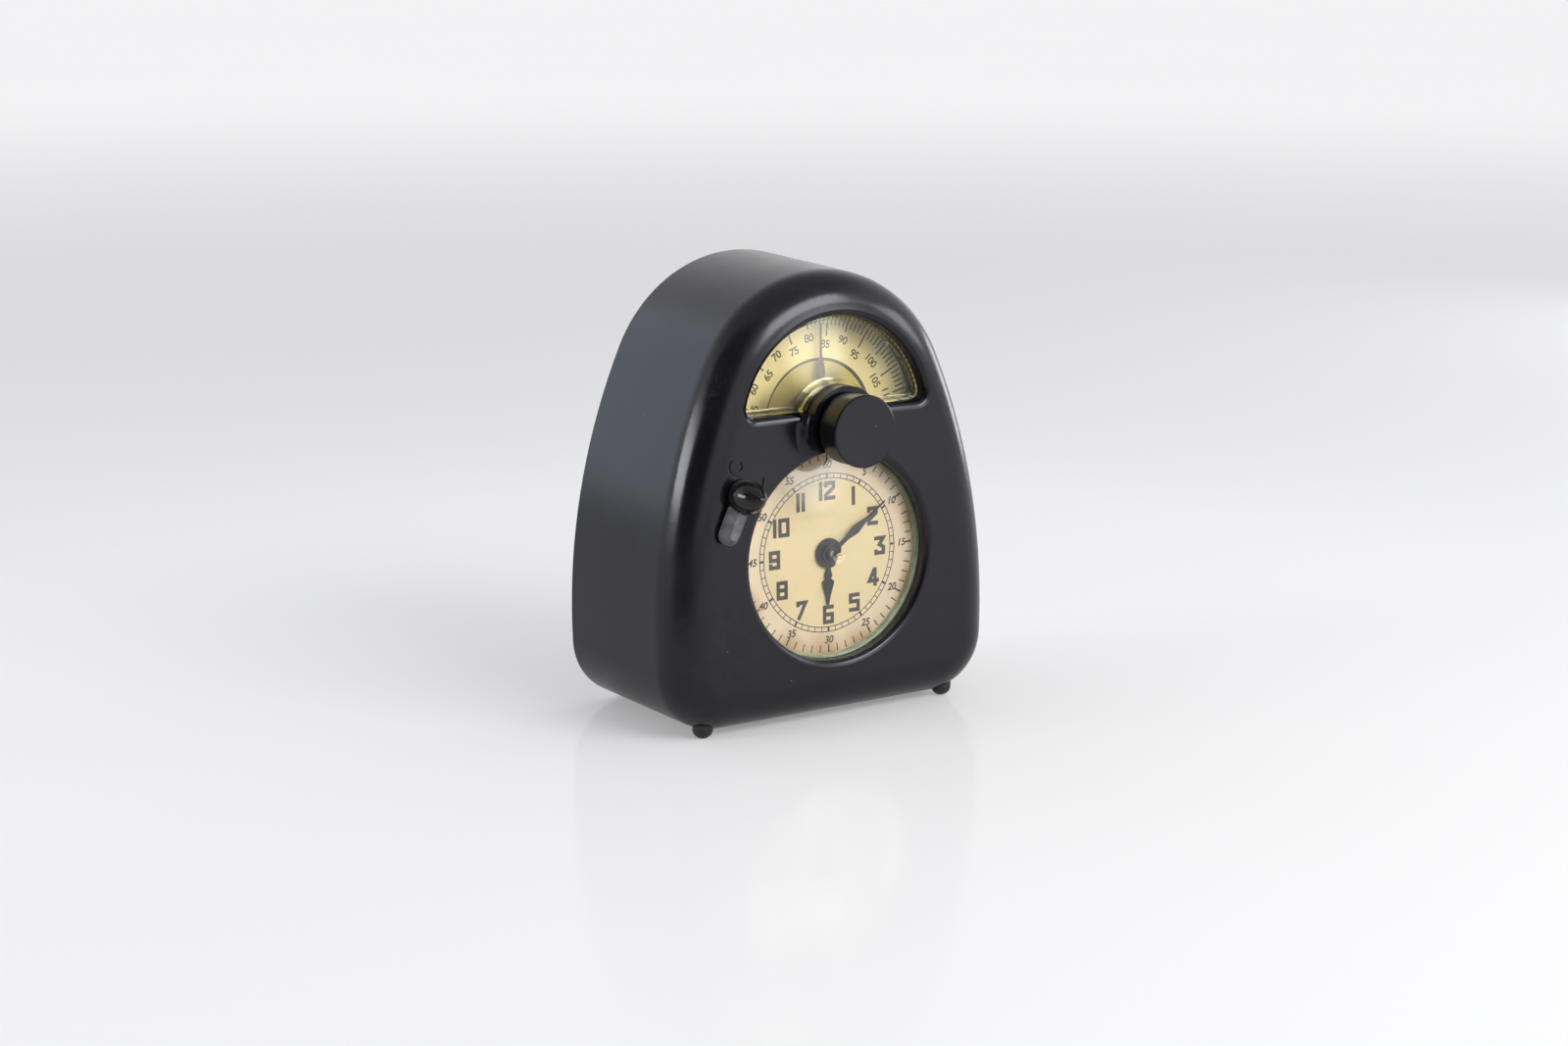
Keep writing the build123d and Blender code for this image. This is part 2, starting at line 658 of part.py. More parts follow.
def make_shutoff_arm():
    outline = bar((0, 0), polar((0, 0), 10.5, 34), 3.0) + Circle(3.6) - Circle(2.0)
    return at(LEVER, prism(outline, *SHUTOFF_LAYER))


# ---------------------------------------------------------------- clock movement
def pivot_holes(plate, places, radius, depth):
    for place in places:
        plate -= at(place, disc(radius, depth - 1, depth + PLATE_T + 1))
    return plate


def make_clock_front_plate():
    plate = prism(hull(CLOCK_PILLARS + CLOCK_EARS, PLATE_EDGE), FRONT_PLATE, FRONT_PLATE + PLATE_T)
    plate = pivot_holes(plate, [CLOCK], 1.5 + RUN_FIT, FRONT_PLATE)
    plate = pivot_holes(plate, [GREAT], 2.2 + RUN_FIT, FRONT_PLATE)
    plate = pivot_holes(plate, [THIRD, FOURTH, ESCAPE, PALLET, BALANCE], PIVOT_R + RUN_FIT, FRONT_PLATE)
    plate = pivot_holes(plate, CLOCK_PILLARS + DIAL_FEET, STUD_R, FRONT_PLATE)
    plate = pivot_holes(plate, CLOCK_EARS, SCREW_R, FRONT_PLATE)
    return plate + at(MINUTE, disc(1.0, 15.0, FRONT_PLATE))


def make_clock_rear_plate():
    plate = prism(hull(CLOCK_PILLARS, PLATE_EDGE), REAR_PLATE, REAR_PLATE + PLATE_T)
    plate += at(BALANCE, disc(1.9, REAR_PLATE + PLATE_T, REAR_PLATE + PLATE_T + 1.2))
    plate = pivot_holes(plate, [CLOCK], 1.5 + RUN_FIT, REAR_PLATE)
    plate = pivot_holes(plate, [GREAT], 3.0 + RUN_FIT, REAR_PLATE)
    plate = pivot_holes(plate, [THIRD, FOURTH, ESCAPE, PALLET], PIVOT_R + RUN_FIT, REAR_PLATE)
    plate -= at(BALANCE, disc(PIVOT_R + RUN_FIT, REAR_PLATE - 1, REAR_PLATE + PLATE_T))
    return pivot_holes(plate, CLOCK_PILLARS, STUD_R, REAR_PLATE)


def make_pillars(places):
    front_end = FRONT_PLATE - STUD_OUT
    rear_end = REAR_PLATE + PLATE_T + STUD_OUT
    pillar = stepped((PILLAR_R, FRONT_PLATE + PLATE_T, REAR_PLATE), (STUD_R, front_end, rear_end))
    return Compound(children=[at(place, pillar) for place in places])


def make_plate_nuts():
    """Hexagon nuts on both ends of every pillar, and one that holds the bell."""
    nut = RegularPolygon(NUT_R, 6) - Circle(STUD_R)
    front_nut = prism(nut, FRONT_PLATE - NUT_T, FRONT_PLATE)
    rear_nut = prism(nut, REAR_PLATE + PLATE_T, REAR_PLATE + PLATE_T + NUT_T)
    nuts = [at(place, front_nut) for place in CLOCK_PILLARS + TIMER_PILLARS]
    nuts += [at(place, rear_nut) for place in CLOCK_PILLARS + TIMER_PILLARS]
    nuts.append(at(BELL, prism(nut, BELL_BACK + 0.02, BELL_BACK + NUT_T)))
    return Compound(children=nuts)


def make_plate_screws():
    face = FRONT_PLATE + PLATE_T
    screw = disc(SCREW_R, 13.0, face) + disc(HEAD_R, face, face + HEAD_T)
    screw -= Pos(0, face + HEAD_T, 0) * Box(8, 1.6, 0.8)
    return Compound(children=[at(place, screw) for place in CLOCK_EARS + TIMER_EARS])


def plain_arbor(radius):
    """A thin arbor with pivots in both plates."""
    pivots = (PIVOT_R, FRONT_PLATE, REAR_PLATE + PLATE_T - 0.1)
    return stepped(pivots, (radius, FRONT_PLATE + PLATE_T + 0.3, REAR_PLATE - 0.3))


def arbor_with(pinion, layer, radius):
    """A thin arbor with a cut pinion."""
    return plain_arbor(radius) + prism(pinion, *layer)


def make_centre_arbor():
    leaves = pinion_outline(CENTRE_PINION_T, GREAT_M, CENTRE_PINION_PHASE)
    arbor = stepped((1.2, 6.3, 21.0), (1.5, 20.6, 71.0), (2.2, 30.5, 40.7))
    return at(CLOCK, arbor + prism(leaves, *CENTRE_PINION_LAYER))


def make_centre_wheel():
    outline = wheel_outline(CENTRE_T, CENTRE_M, THIRD_PINION_T, CENTRE_PHASE)
    web = spoked(outline, 12.6, 4.2, 1.8, 5)
    return at(CLOCK, prism(web - Circle(2.2), *CENTRE_LAYER))


def make_cannon_pinion():
    leaves = pinion_outline(CANNON_T, CANNON_M, CANNON_PHASE)
    pipe = disc(2.0, 6.9, 17.6) + prism(leaves, *CANNON_LAYER)
    return at(CLOCK, pipe - disc(1.2, 6, 21))


def make_hand_cap():
    return at(CLOCK, turned(
        Line((1.2, 6.9), (2.3, 6.9)),
        Line((2.3, 6.9), (2.3, 6.3)),
        ThreePointArc((2.3, 6.3), (2.0, 5.9), (1.2, 5.7)),
        Line((1.2, 5.7), (1.2, 6.9)),
    ))


def make_minute_wheel():
    outline = wheel_outline(MINUTE_T, CANNON_M, CANNON_T, 0.0)
    leaves = pinion_outline(MINUTE_PINION_T, HOUR_M, MINUTE_PINION_PHASE)
    wheel = prism(spoked(outline, 7.2, 3.0, 1.5, 4), *MINUTE_WHEEL_LAYER)
    wheel += prism(leaves, *MINUTE_PINION_LAYER)
    return at(MINUTE, wheel - disc(1.0 + RUN_FIT, 14, 20))


def make_hour_wheel():
    outline = wheel_outline(HOUR_T, HOUR_M, MINUTE_PINION_T, 0.0)
    wheel = prism(spoked(outline, 7.6, 4.2, 1.6, 4), *HOUR_WHEEL_LAYER) + disc(2.9, 8.3, 15.7)
    return at(CLOCK, wheel - disc(2.0 + 2 * RUN_FIT, 7, 18))


def make_great_wheel():
    outline = wheel_outline(GREAT_T, GREAT_M, CENTRE_PINION_T, 0.0)
    web = spoked(outline, 22.6, 6.5, 3.2, 5)
    web += Rot(0, 0, 36) * (Pos(14.5, 0) * Circle(2.6) + Pos(18.5, 0) * Rectangle(9.0, 3.0))
    web -= Circle(3.0 + RUN_FIT)
    web -= Pos(*polar((0, 0), 14.5, 36)) * Circle(1.2)
    return at(GREAT, prism(web, *GREAT_LAYER))


def make_winding_arbor():
    square = prism(Rectangle(3.6, 3.6), 60.0, 71.5)
    return at(GREAT, stepped((2.2, 21.0, 22.4), (3.0, 22.4, 46.0), (2.4, 46.0, 62.0)) + square)


def spiral(inner, outer, thickness, turns):
    """A flat strip wound in a spiral, as a closed outline."""
    steps = 18
    count = int(turns * steps)
    inside = []
    outside = []
    for step in range(count + 1):
        radius = inner + (outer - inner - thickness) * step / count
        angle = 360.0 * step / steps
        inside.append(polar((0, 0), radius, angle))
        outside.append(polar((0, 0), radius + thickness, angle))
    return outline_through(inside + outside[::-1])


def make_mainspring():
    return at(GREAT, prism(spiral(3.7, 13.3, 0.5, 6), *MAINSPRING_LAYER))


def make_ratchet_wheel():
    points = []
    for tooth in range(RATCHET_TEETH):
        start = 360.0 * tooth / RATCHET_TEETH
        points.append(polar((0, 0), RATCHET_R, start))
        points.append(polar((0, 0), RATCHET_R - 1.3, start + 1.0))
    return at(GREAT, prism(outline_through(points) - Circle(3.0), *RATCHET_LAYER))


def make_click():
    """The click, riveted to the great wheel, its nose just clear of the ratchet."""
    pivot = polar((0, 0), 14.5, 36)
    nose = polar((0, 0), 10.6, 62)
    arm = prism(bar(pivot, nose, 2.0) + Pos(*pivot) * Circle(2.4), *RATCHET_LAYER)
    rivet = at(pivot, stepped((1.2, 25.5, 29.0), (2.0, 25.5, 27.0)))
    return at(GREAT, arm + rivet)


def make_click_spring():
    """A bent wire that presses on the click's back, held by a stud in the great wheel's spoke."""
    foot = polar((0, 0), 15.0, 0)
    bend = polar((0, 0), 17.6, 20)
    strip = bar(foot, bend, 0.6) + bar(bend, polar((0, 0), 17.5, 34), 0.6)
    return at(GREAT, prism(strip, 25.0, 25.8) + at(foot, disc(1.2, 25.0, 27.0)))


def make_third_wheel():
    leaves = pinion_outline(THIRD_PINION_T, CENTRE_M, THIRD_PINION_PHASE)
    web = spoked(wheel_outline(THIRD_T, THIRD_M, FOURTH_PINION_T, 0.0), 12.0, 3.0, 1.5, 5)
    return at(THIRD, arbor_with(leaves, THIRD_PINION_LAYER, 1.0) + prism(web, *THIRD_LAYER))


def make_fourth_wheel():
    leaves = pinion_outline(FOURTH_PINION_T, THIRD_M, FOURTH_PINION_PHASE)
    web = spoked(wheel_outline(FOURTH_T, FOURTH_M, ESCAPE_PINION_T, 0.0), 11.4, 2.8, 1.4, 5)
    return at(FOURTH, arbor_with(leaves, FOURTH_PINION_LAYER, 1.0) + prism(web, *FOURTH_LAYER))


def saw_teeth(teeth, tip_r, root_r, rake):
    """Pointed raked teeth, as on an escape wheel."""
    points = []
    for tooth in range(teeth):
        start = 360.0 * tooth / teeth
        points.append(polar((0, 0), root_r, start - 2))
        points.append(polar((0, 0), tip_r, start + rake))
        points.append(polar((0, 0), tip_r, start + rake + 2.5))
        points.append(polar((0, 0), root_r, start + 8))
    return outline_through(points)


def make_escape_wheel():
    leaves = pinion_outline(ESCAPE_PINION_T, FOURTH_M, ESCAPE_PINION_PHASE)
    web = spoked(saw_teeth(ESCAPE_TEETH, ESCAPE_R, 4.6, 6), 3.7, 1.8, 0.9, 4)
    return at(ESCAPE, arbor_with(leaves, ESCAPE_PINION_LAYER, 0.9) + prism(web, *ESCAPE_LAYER))


def make_pallet_lever():
    """Pin-pallet lever: two arms with pins towards the escape wheel and a fork towards the balance."""
    towards = angle_between(PALLET, ESCAPE)
    fork = angle_between(PALLET, BALANCE)
    body = Circle(1.9)
    pins = []
    for side in (-47.7, 47.7):
        end = polar((0, 0), 6.5, towards + side)
        body += bar((0, 0), end, 1.5)
        pins.append(at(end, disc(0.5, 34.2, 36.4)))
    body += bar((0, 0), polar((0, 0), 7.4, fork), 1.3)
    for side in (-9, 9):
        body += bar(polar((0, 0), 6.8, fork), polar((0, 0), 8.9, fork + side), 0.8)
    lever = plain_arbor(0.9) + prism(body, *PALLET_LAYER)
    for pin in pins:
        lever += pin
    return at(PALLET, lever)


def make_balance_wheel():
    rim = Circle(11.0) - Circle(9.5) + Circle(1.9) + Rectangle(20.0, 1.5)
    roller = disc(2.4, 36.5, 37.2) + Pos(1.8, 0, 0) * disc(0.45, 35.0, 36.7)
    return at(BALANCE, plain_arbor(0.9) + roller + prism(rim, *BALANCE_LAYER))


def make_hairspring():
    return at(BALANCE, prism(spiral(1.5, 6.3, 0.2, 5), *HAIRSPRING_LAYER))


def make_regulator():
    """Regulator lever on the rear plate, its pin reaching out through the cover."""
    face = REAR_PLATE + PLATE_T
    outline = bar((0, 0), (0, -12.0), 2.4) + Circle(3.6) - Circle(1.9 + RUN_FIT)
    arm = prism(outline, face + 0.1, face + 1.0)
    return at(BALANCE, arm + Pos(0, 0, -12.0) * disc(1.1, face + 0.1, 66.5))


def make_winding_key():
    hub = disc(3.6, 65.2, 70.0)
    wing = Pos(0, 69.8) * RectangleRounded(24.0, 7.2, 3.2)
    plate = extrude(Plane.XY.offset(-1.0) * wing, amount=2.0)
    key = hub + plate - prism(Rectangle(3.6, 3.6), 60, 71.5)
    return at(GREAT, key)


def make_set_knob():
    knob = disc(6.2, 66.0, 71.2)
    for step in range(24):
        knob -= Rot(0, 15.0 * step, 0) * Pos(6.4, 0, 0) * disc(0.55, 65, 72)
    return at(CLOCK, knob - disc(1.5, 60, 71.0))


# ---------------------------------------------------------------- timer movement
def make_timer_front_plate():
    plate = prism(hull(TIMER_PILLARS + TIMER_EARS, PLATE_EDGE), FRONT_PLATE, FRONT_PLATE + PLATE_T)
    plate = pivot_holes(plate, [TIMER], 2.5 + RUN_FIT, FRONT_PLATE)
    plate = pivot_holes(plate, [SECOND, TIMER_ESCAPE, VERGE], PIVOT_R + RUN_FIT, FRONT_PLATE)
    plate = pivot_holes(plate, TIMER_PILLARS, STUD_R, FRONT_PLATE)
    return pivot_holes(plate, TIMER_EARS, SCREW_R, FRONT_PLATE)


def make_timer_rear_plate():
    plate = prism(hull(TIMER_PILLARS, PLATE_EDGE), REAR_PLATE, REAR_PLATE + PLATE_T)
    plate = pivot_holes(plate, [TIMER], 2.5 + RUN_FIT, REAR_PLATE)
    plate = pivot_holes(plate, [SECOND, TIMER_ESCAPE, VERGE], PIVOT_R + RUN_FIT, REAR_PLATE)
    plate = pivot_holes(plate, [HAMMER], 1.2 + RUN_FIT, REAR_PLATE)
    return pivot_holes(plate, TIMER_PILLARS, STUD_R, REAR_PLATE)


def make_timer_arbor():
    return at(TIMER, stepped((2.5, -13.0, 43.2), (3.2, 23.0, 24.5)))


def make_timer_bush():
    return at(TIMER, ring(4.0, 2.5 + RUN_FIT, -BOSS_PROUD - 0.4, 12.6))


def make_dial_collet():
    collet = ring(4.0, 2.5, 13.2, 15.8) + ring(7.0, 2.5, TIMER_DIAL_DEPTH + DIAL_T, 15.8)
    return at(TIMER, collet)


def make_timer_main_wheel():
    web = spoked(wheel_outline(MAIN_T, MAIN_M, SECOND_PINION_T, 0.0), 15.8, 6.0, 2.4, 5)
    return at(TIMER, prism(web - Circle(2.5), *MAIN_LAYER))


def make_timer_mainspring():
    return at(TIMER, prism(spiral(3.1, 11.5, 0.45, 5), *TIMER_SPRING_LAYER))


def make_timer_second_wheel():
    leaves = pinion_outline(SECOND_PINION_T, MAIN_M, SECOND_PINION_PHASE)
    web = spoked(wheel_outline(SECOND_T, SECOND_M, TIMER_ESCAPE_PINION_T, 0.0), 10.6, 2.8, 1.4, 5)
    return at(SECOND, arbor_with(leaves, SECOND_PINION_LAYER, 1.0) + prism(web, *SECOND_LAYER))


def make_timer_escape_wheel():
    leaves = pinion_outline(TIMER_ESCAPE_PINION_T, SECOND_M, TIMER_ESCAPE_PINION_PHASE)
    web = spoked(saw_teeth(ESCAPE_TEETH, 5.4, 4.0, 6), 3.1, 1.8, 0.9, 4)
    arbor = arbor_with(leaves, TIMER_ESCAPE_PINION_LAYER, 0.9)
    return at(TIMER_ESCAPE, arbor + prism(web, *TIMER_ESCAPE_LAYER))


def make_timer_verge():
    """The rocking verge that times the timer's escape wheel, with its weight."""
    body = Circle(1.9)
    for side in (-140, -40):
        body += bar((0, 0), polar((0, 0), 6.4, side), 1.4)
    body += bar((0, 0), (0, 6.0), 1.4) + Pos(0, 7.0) * Circle(2.6)
    return at(VERGE, plain_arbor(0.9) + prism(body, *VERGE_LAYER))


# ---------------------------------------------------------------- bell
def make_bell():
    """A pressed bell cup, open towards the front, held at its middle."""
    skin = BELL_T
    inner = BELL_R - skin
    front = BELL_FRONT
    back = BELL_BACK
    return at(BELL, turned(
        Line((BELL_R, front), (BELL_R, front + 2.5)),
        ThreePointArc((BELL_R, front + 2.5), (14.5, back - 2.3), (4.0, back)),
        Line((4.0, back), (STUD_R, back)),
        Line((STUD_R, back), (STUD_R, back - skin)),
        Line((STUD_R, back - skin), (4.0, back - skin)),
        ThreePointArc((4.0, back - skin), (13.8, back - 3.3), (inner, front + 2.5)),
        Line((inner, front + 2.5), (inner, front)),
        Line((inner, front), (BELL_R, front)),
    ))


def make_bell_post():
    face = REAR_PLATE + PLATE_T
    foot = (3.6, face, face + 1.4)
    body = (2.4, face, BELL_BACK - BELL_T)
    return at(BELL, stepped(foot, body, (STUD_R, face, BELL_BACK + STUD_OUT)))


def make_hammer():
    """Hammer arm with its head beside the bell's rim and a short tail."""
    away = BELL_R + HAMMER_HEAD_R + HAMMER_GAP
    head = (BELL[0] - away - HAMMER[0], BELL[1] - HAMMER[1])
    tail = polar((0, 0), 6.0, 215)
    outline = bar((0, 0), head, 1.6) + bar((0, 0), tail, 1.6) + Circle(2.6)
    arm = prism(outline, *HAMMER_LAYER)
    arbor = stepped((1.2, REAR_PLATE - 0.6, 49.0), (2.0, REAR_PLATE + PLATE_T + 0.1, 47.3))
    return at(HAMMER, arm + arbor + at(head, disc(HAMMER_HEAD_R, 46.2, 50.4)))


# ---------------------------------------------------------------- the whole clock
CASE_NODES = {
    "case_shell": make_case,
    "rubber_feet": make_feet,
    "back_cover": make_back_cover,
    "back_cover_screws": make_cover_screws,
}

WORKS_NODES = {
    "clock_glass": make_clock_glass,
    "glass_spacer_ring": make_glass_ring,
    "clock_dial": make_clock_dial,
    "dial_feet": make_dial_feet,
    "hour_hand": make_hour_hand,
    "minute_hand": make_minute_hand,
    "hand_cap": make_hand_cap,
    "timer_lens": make_timer_lens,
    "timer_pointer": make_timer_pointer,
    "timer_dial": make_timer_dial,
    "timer_dial_collet": make_dial_collet,
    "timer_knob": make_timer_knob,
    "knob_set_screw": make_knob_screw,
    "timer_arbor": make_timer_arbor,
    "timer_arbor_bush": make_timer_bush,
    "bell_lever": make_lever,
    "lever_shaft": make_lever_shaft,
    "lever_spring_washer": make_spring_washer,
    "lever_retaining_clip": make_lever_clip,
    "shutoff_arm": make_shutoff_arm,
    "clock_front_plate": make_clock_front_plate,
    "clock_rear_plate": make_clock_rear_plate,
    "clock_pillars": lambda: make_pillars(CLOCK_PILLARS),
    "plate_nuts": make_plate_nuts,
    "plate_screws": make_plate_screws,
    "centre_arbor": make_centre_arbor,
    "centre_wheel": make_centre_wheel,
    "cannon_pinion": make_cannon_pinion,
    "minute_wheel": make_minute_wheel,
    "hour_wheel": make_hour_wheel,
    "great_wheel": make_great_wheel,
    "winding_arbor": make_winding_arbor,
    "mainspring": make_mainspring,
    "ratchet_wheel": make_ratchet_wheel,
    "click": make_click,
    "click_spring": make_click_spring,
    "third_wheel": make_third_wheel,
    "fourth_wheel": make_fourth_wheel,
    "escape_wheel": make_escape_wheel,
    "pallet_lever": make_pallet_lever,
    "balance_wheel": make_balance_wheel,
    "hairspring": make_hairspring,
    "regulator_lever": make_regulator,
    "winding_key": make_winding_key,
    "hand_set_knob": make_set_knob,
    "timer_front_plate": make_timer_front_plate,
    "timer_rear_plate": make_timer_rear_plate,
    "timer_pillars": lambda: make_pillars(TIMER_PILLARS),
    "timer_main_wheel": make_timer_main_wheel,
    "timer_mainspring": make_timer_mainspring,
    "timer_second_wheel": make_timer_second_wheel,
    "timer_escape_wheel": make_timer_escape_wheel,
    "timer_verge": make_timer_verge,
    "bell": make_bell,
    "bell_post": make_bell_post,
    "bell_hammer": make_hammer,
}

# The knob is the foremost piece and the winding key the rearmost: the origin is midway between them
FOREMOST = lean(make_timer_knob()).bounding_box().min.Y
REARMOST = lean(make_winding_key()).bounding_box().max.Y
MIDDLE_Y = (FOREMOST + REARMOST) / 2
PLACE = Pos(0, -MIDDLE_Y, FOOT_H)

for node, make in CASE_NODES.items():
    export_step(PLACE * make(), f"parts/{node}.step")

for node, make in WORKS_NODES.items():
    export_step(PLACE * lean(make()), f"parts/{node}.step")
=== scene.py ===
import json
import math

import bmesh
import bpy
from mathutils import Matrix, Vector


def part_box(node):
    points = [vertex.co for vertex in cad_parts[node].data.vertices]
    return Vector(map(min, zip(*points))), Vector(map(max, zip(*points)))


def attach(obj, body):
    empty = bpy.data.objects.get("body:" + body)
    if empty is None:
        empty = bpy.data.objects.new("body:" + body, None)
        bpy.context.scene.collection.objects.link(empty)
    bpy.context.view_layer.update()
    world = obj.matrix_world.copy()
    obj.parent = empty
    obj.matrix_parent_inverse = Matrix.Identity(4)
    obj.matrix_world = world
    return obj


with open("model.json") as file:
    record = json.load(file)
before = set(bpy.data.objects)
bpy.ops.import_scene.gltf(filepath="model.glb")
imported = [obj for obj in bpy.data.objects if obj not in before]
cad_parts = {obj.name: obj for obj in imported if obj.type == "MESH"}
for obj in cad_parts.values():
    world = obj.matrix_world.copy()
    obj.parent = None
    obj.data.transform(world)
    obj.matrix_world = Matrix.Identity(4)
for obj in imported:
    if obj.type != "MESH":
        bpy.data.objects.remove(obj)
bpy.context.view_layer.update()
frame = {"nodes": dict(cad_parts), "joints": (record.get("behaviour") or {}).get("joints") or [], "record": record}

MM = 0.001

# The face leans back, so its own frame comes from the hands' arbor: RIGHT, UP the face and OUT of it.
AXIS = Vector(frame["joints"][0]["axis"])
RIGHT = Vector((1, 0, 0))
OUT = -AXIS
UP = OUT.cross(RIGHT)

# Camera: where it stands, and the way it looks, in the frame's own metres
CAMERA_PLACE = Vector((-0.51554, -0.78556, 0.28019))
CAMERA_AZIMUTH = -33.0
CAMERA_ELEVATION = 12.76
CAMERA_ROLL = 0.33
CAMERA_LENS = 61.07

# Studio: a cone of the sky is (azimuth, elevation, half angle of its core, half angle of its edge), and
# azimuth runs from the front to the right, in degrees
TENT_COLOUR = (0.87, 0.87, 0.88)
TOP_COLOUR = (0.42, 0.42, 0.43)
TOP_CONE = (0, 90, 30, 62)
GAP_COLOUR = (0.07, 0.07, 0.08)
GAP_CONE = (-60, 27, 26, 43)
GLOW_COLOUR = (4.6, 4.55, 4.4)
GLOW_CONE = (29, 10, 3, 11)
BLUE_COLOUR = (1.18, 1.25, 1.42)
BLUE_CONE = (-155, 14, 12, 28)
LAMP_AIM = Vector((0, 0, 0.08))
LAMP_DISTANCE = 1.3
# Each softbox is (name, azimuth, elevation, size, radiance)
SOFTBOXES = [
    ("key_softbox", 20, 34, (0.85, 0.46), 7.0),
    ("left_softbox", -102, 14, (0.64, 0.32), 7.5),
    ("right_softbox", 60, 16, (0.46, 0.34), 3.8),
    ("far_right_softbox", 102, 3, (0.40, 0.30), 3.6),
]

# Floor, in metres. It glows more with distance, and is rougher there and where it is seen mirrored.
# FLOOR_GLOW and FLOOR_DIMMED are fades: (start, end, value at the start, value at the end).
FLOOR_REACH = 24.0
FLOOR_IOR = 1.11
FLOOR_GLOW = (0.6, 3.5, 0.25, 0.51)
DIMMED_GLOW = 0.05
FLOOR_DIMMED = (0.35, -0.35, 0.22, 0.40)
GAP_MIDDLE = (-0.58, -0.50, 0.0)
GAP_FADE = (0.66, 0.25)
NEAR_ROUGHNESS = (0.09, 0.12)
FAR_ROUGHNESS = 0.8
ROUGHER_BETWEEN = (0.22, 0.75)
MIRRORED_ROUGHNESS = 0.7

# Dials, in millimetres
DIAL_THICKNESS = 0.6
INK_HEIGHT = 0.03
INK_SUNK = 0.3
FONT_SIZE_RATIO = 1.37
FONT_SPACING = 0.96
MITRE_LIMIT = 0.35
MINUTES = 60
FIVE = 5
HOUR_NUMERAL_R = 22.4
HOUR_NUMERAL_SIZE = (4.7, 6.8)
HOUR_STROKE = 1.45
HOUR_GAP = 0.75
TRACK_OUTER_R = 28.6
TRACK_INNER_R = 26.9
TRACK_LINE = 0.34
MINUTE_NUMERAL_R = 31.7
MINUTE_NUMERAL_H = 2.7
OUTER_TICK = (33.5, 36.2)
FIVE_TICK_EXTRA = 0.3
# Tick widths, at the fives and at the other minutes
TRACK_TICK_WIDTHS = (0.8, 0.3)
OUTER_TICK_WIDTHS = (0.62, 0.44)
TIMER_TICK_WIDTHS = (0.55, 0.48)

TIMER_MINUTES = 120
TIMER_STEP = 2.79
TIMER_SHOWN = 82.5
TIMER_TICK_R = 38.4
TEN_TICK_R = 33.0
FIVE_TICK_R = 30.2
MINUTE_TICK_R = 34.4
TIMER_NUMERAL_H = 2.9
TENS_R = 29.9
FIVES_R = 27.3
TIMER_ARC_R = 22.6
ARC_FROM = 36
ARC_WIDTH = 0.30
ARC_GROWTH = 0.0155

# Fades round the middle of a dial, glass or shaft: (start, end) radii in millimetres
LEVER_BULLET_FADE = (6.1, 6.6)
TRACK_ZONE_FADE = (25.5, 28.0)
DIAL_RIM_FADE = (31.5, 38.5)
TIMER_ZONE_FADE = (22.9, 21.0)
TIMER_RIM_FADE = (34.0, 38.8)
GLASS_RIM_FADE = (36.3, 37.2)
GLASS_RIM_COLOUR = (0.70, 0.79, 0.68)
CLEAR_IOR = 1.49

# Worn places on the case, and places of painted shade on the timer dial: (dial, right, up, reach) in millimetres
CASE_WEAR = [
    ("clock_dial", -52, -36, 30),
    ("clock_dial", -46, -18, 22),
    ("timer_dial", -31, -3, 10),
    ("timer_dial", 33, -2, 7),
]
TIMER_PAINTED_SHADE = [("timer_dial", -13, 8, 13), ("timer_dial", -22, 6, 10), ("timer_dial", 6, 15, 6)]
# Brown stains near the clock dial's rim: (degrees from the right, reach in millimetres)
DIAL_STAIN_R = 37.5
DIAL_STAINS = [(-95, 13), (-118, 10), (-70, 10), (14, 7), (-155, 8)]

# Hour numerals as strokes on a grid one wide and two high
STROKES = {
    "0": [[(0, 0), (1, 0), (1, 2), (0, 2), (0, 0)]],
    "1": [[(0.5, 0), (0.5, 2)]],
    "2": [[(0, 1.72), (0, 2), (1, 2), (1, 1.35), (0, 0.42), (0, 0), (1, 0)]],
    "3": [[(0, 2), (1, 2), (0.46, 1.14), (1, 0.74), (1, 0), (0, 0), (0, 0.22)]],
    "4": [[(1.08, 0.5), (0, 0.5), (0.66, 2.0), (0.78, 2.0), (0.78, 0)]],
    "5": [[(1, 2), (0, 2), (0, 1.12), (1, 1.12), (1, 0), (0, 0)]],
    "6": [[(1, 2), (0, 2), (0, 0), (1, 0), (1, 1.0), (0, 1.0)]],
    "7": [[(0, 1.78), (0, 2), (1, 2), (0.12, 0)]],
    "8": [[(0, 1.02), (1, 1.02), (1, 2), (0, 2), (0, 0), (1, 0), (1, 1.02)]],
    "9": [[(1, 0.98), (0, 0.98), (0, 2), (1, 2), (1, 0), (0, 0), (0, 0.3)]],
}


# ---------------------------------------------------------------- camera and light
def make_camera():
    """The photograph's viewpoint and framing."""
    azimuth = math.radians(CAMERA_AZIMUTH)
    elevation = math.radians(CAMERA_ELEVATION)
    roll = math.radians(CAMERA_ROLL)
    level = math.cos(elevation)
    back = Vector((math.sin(azimuth) * level, -math.cos(azimuth) * level, math.sin(elevation)))
    right = Vector((math.cos(azimuth), math.sin(azimuth), 0))
    up = back.cross(right)
    tilted_right = right * math.cos(roll) + up * math.sin(roll)
    tilted_up = back.cross(tilted_right)
    turn = Matrix((tilted_right, tilted_up, back)).transposed().to_4x4()
    camera = bpy.data.objects.new("camera", bpy.data.cameras.new("camera"))
    camera.data.lens = CAMERA_LENS
    camera.matrix_world = Matrix.Translation(CAMERA_PLACE) @ turn
    bpy.context.scene.collection.objects.link(camera)
    bpy.context.scene.camera = camera


def towards(azimuth, elevation):
    """A unit vector; azimuth runs from the front to the right, elevation up."""
    turn = math.radians(azimuth)
    rise = math.radians(elevation)
    level = math.cos(rise)
    return Vector((math.sin(turn) * level, -math.cos(turn) * level, math.sin(rise)))


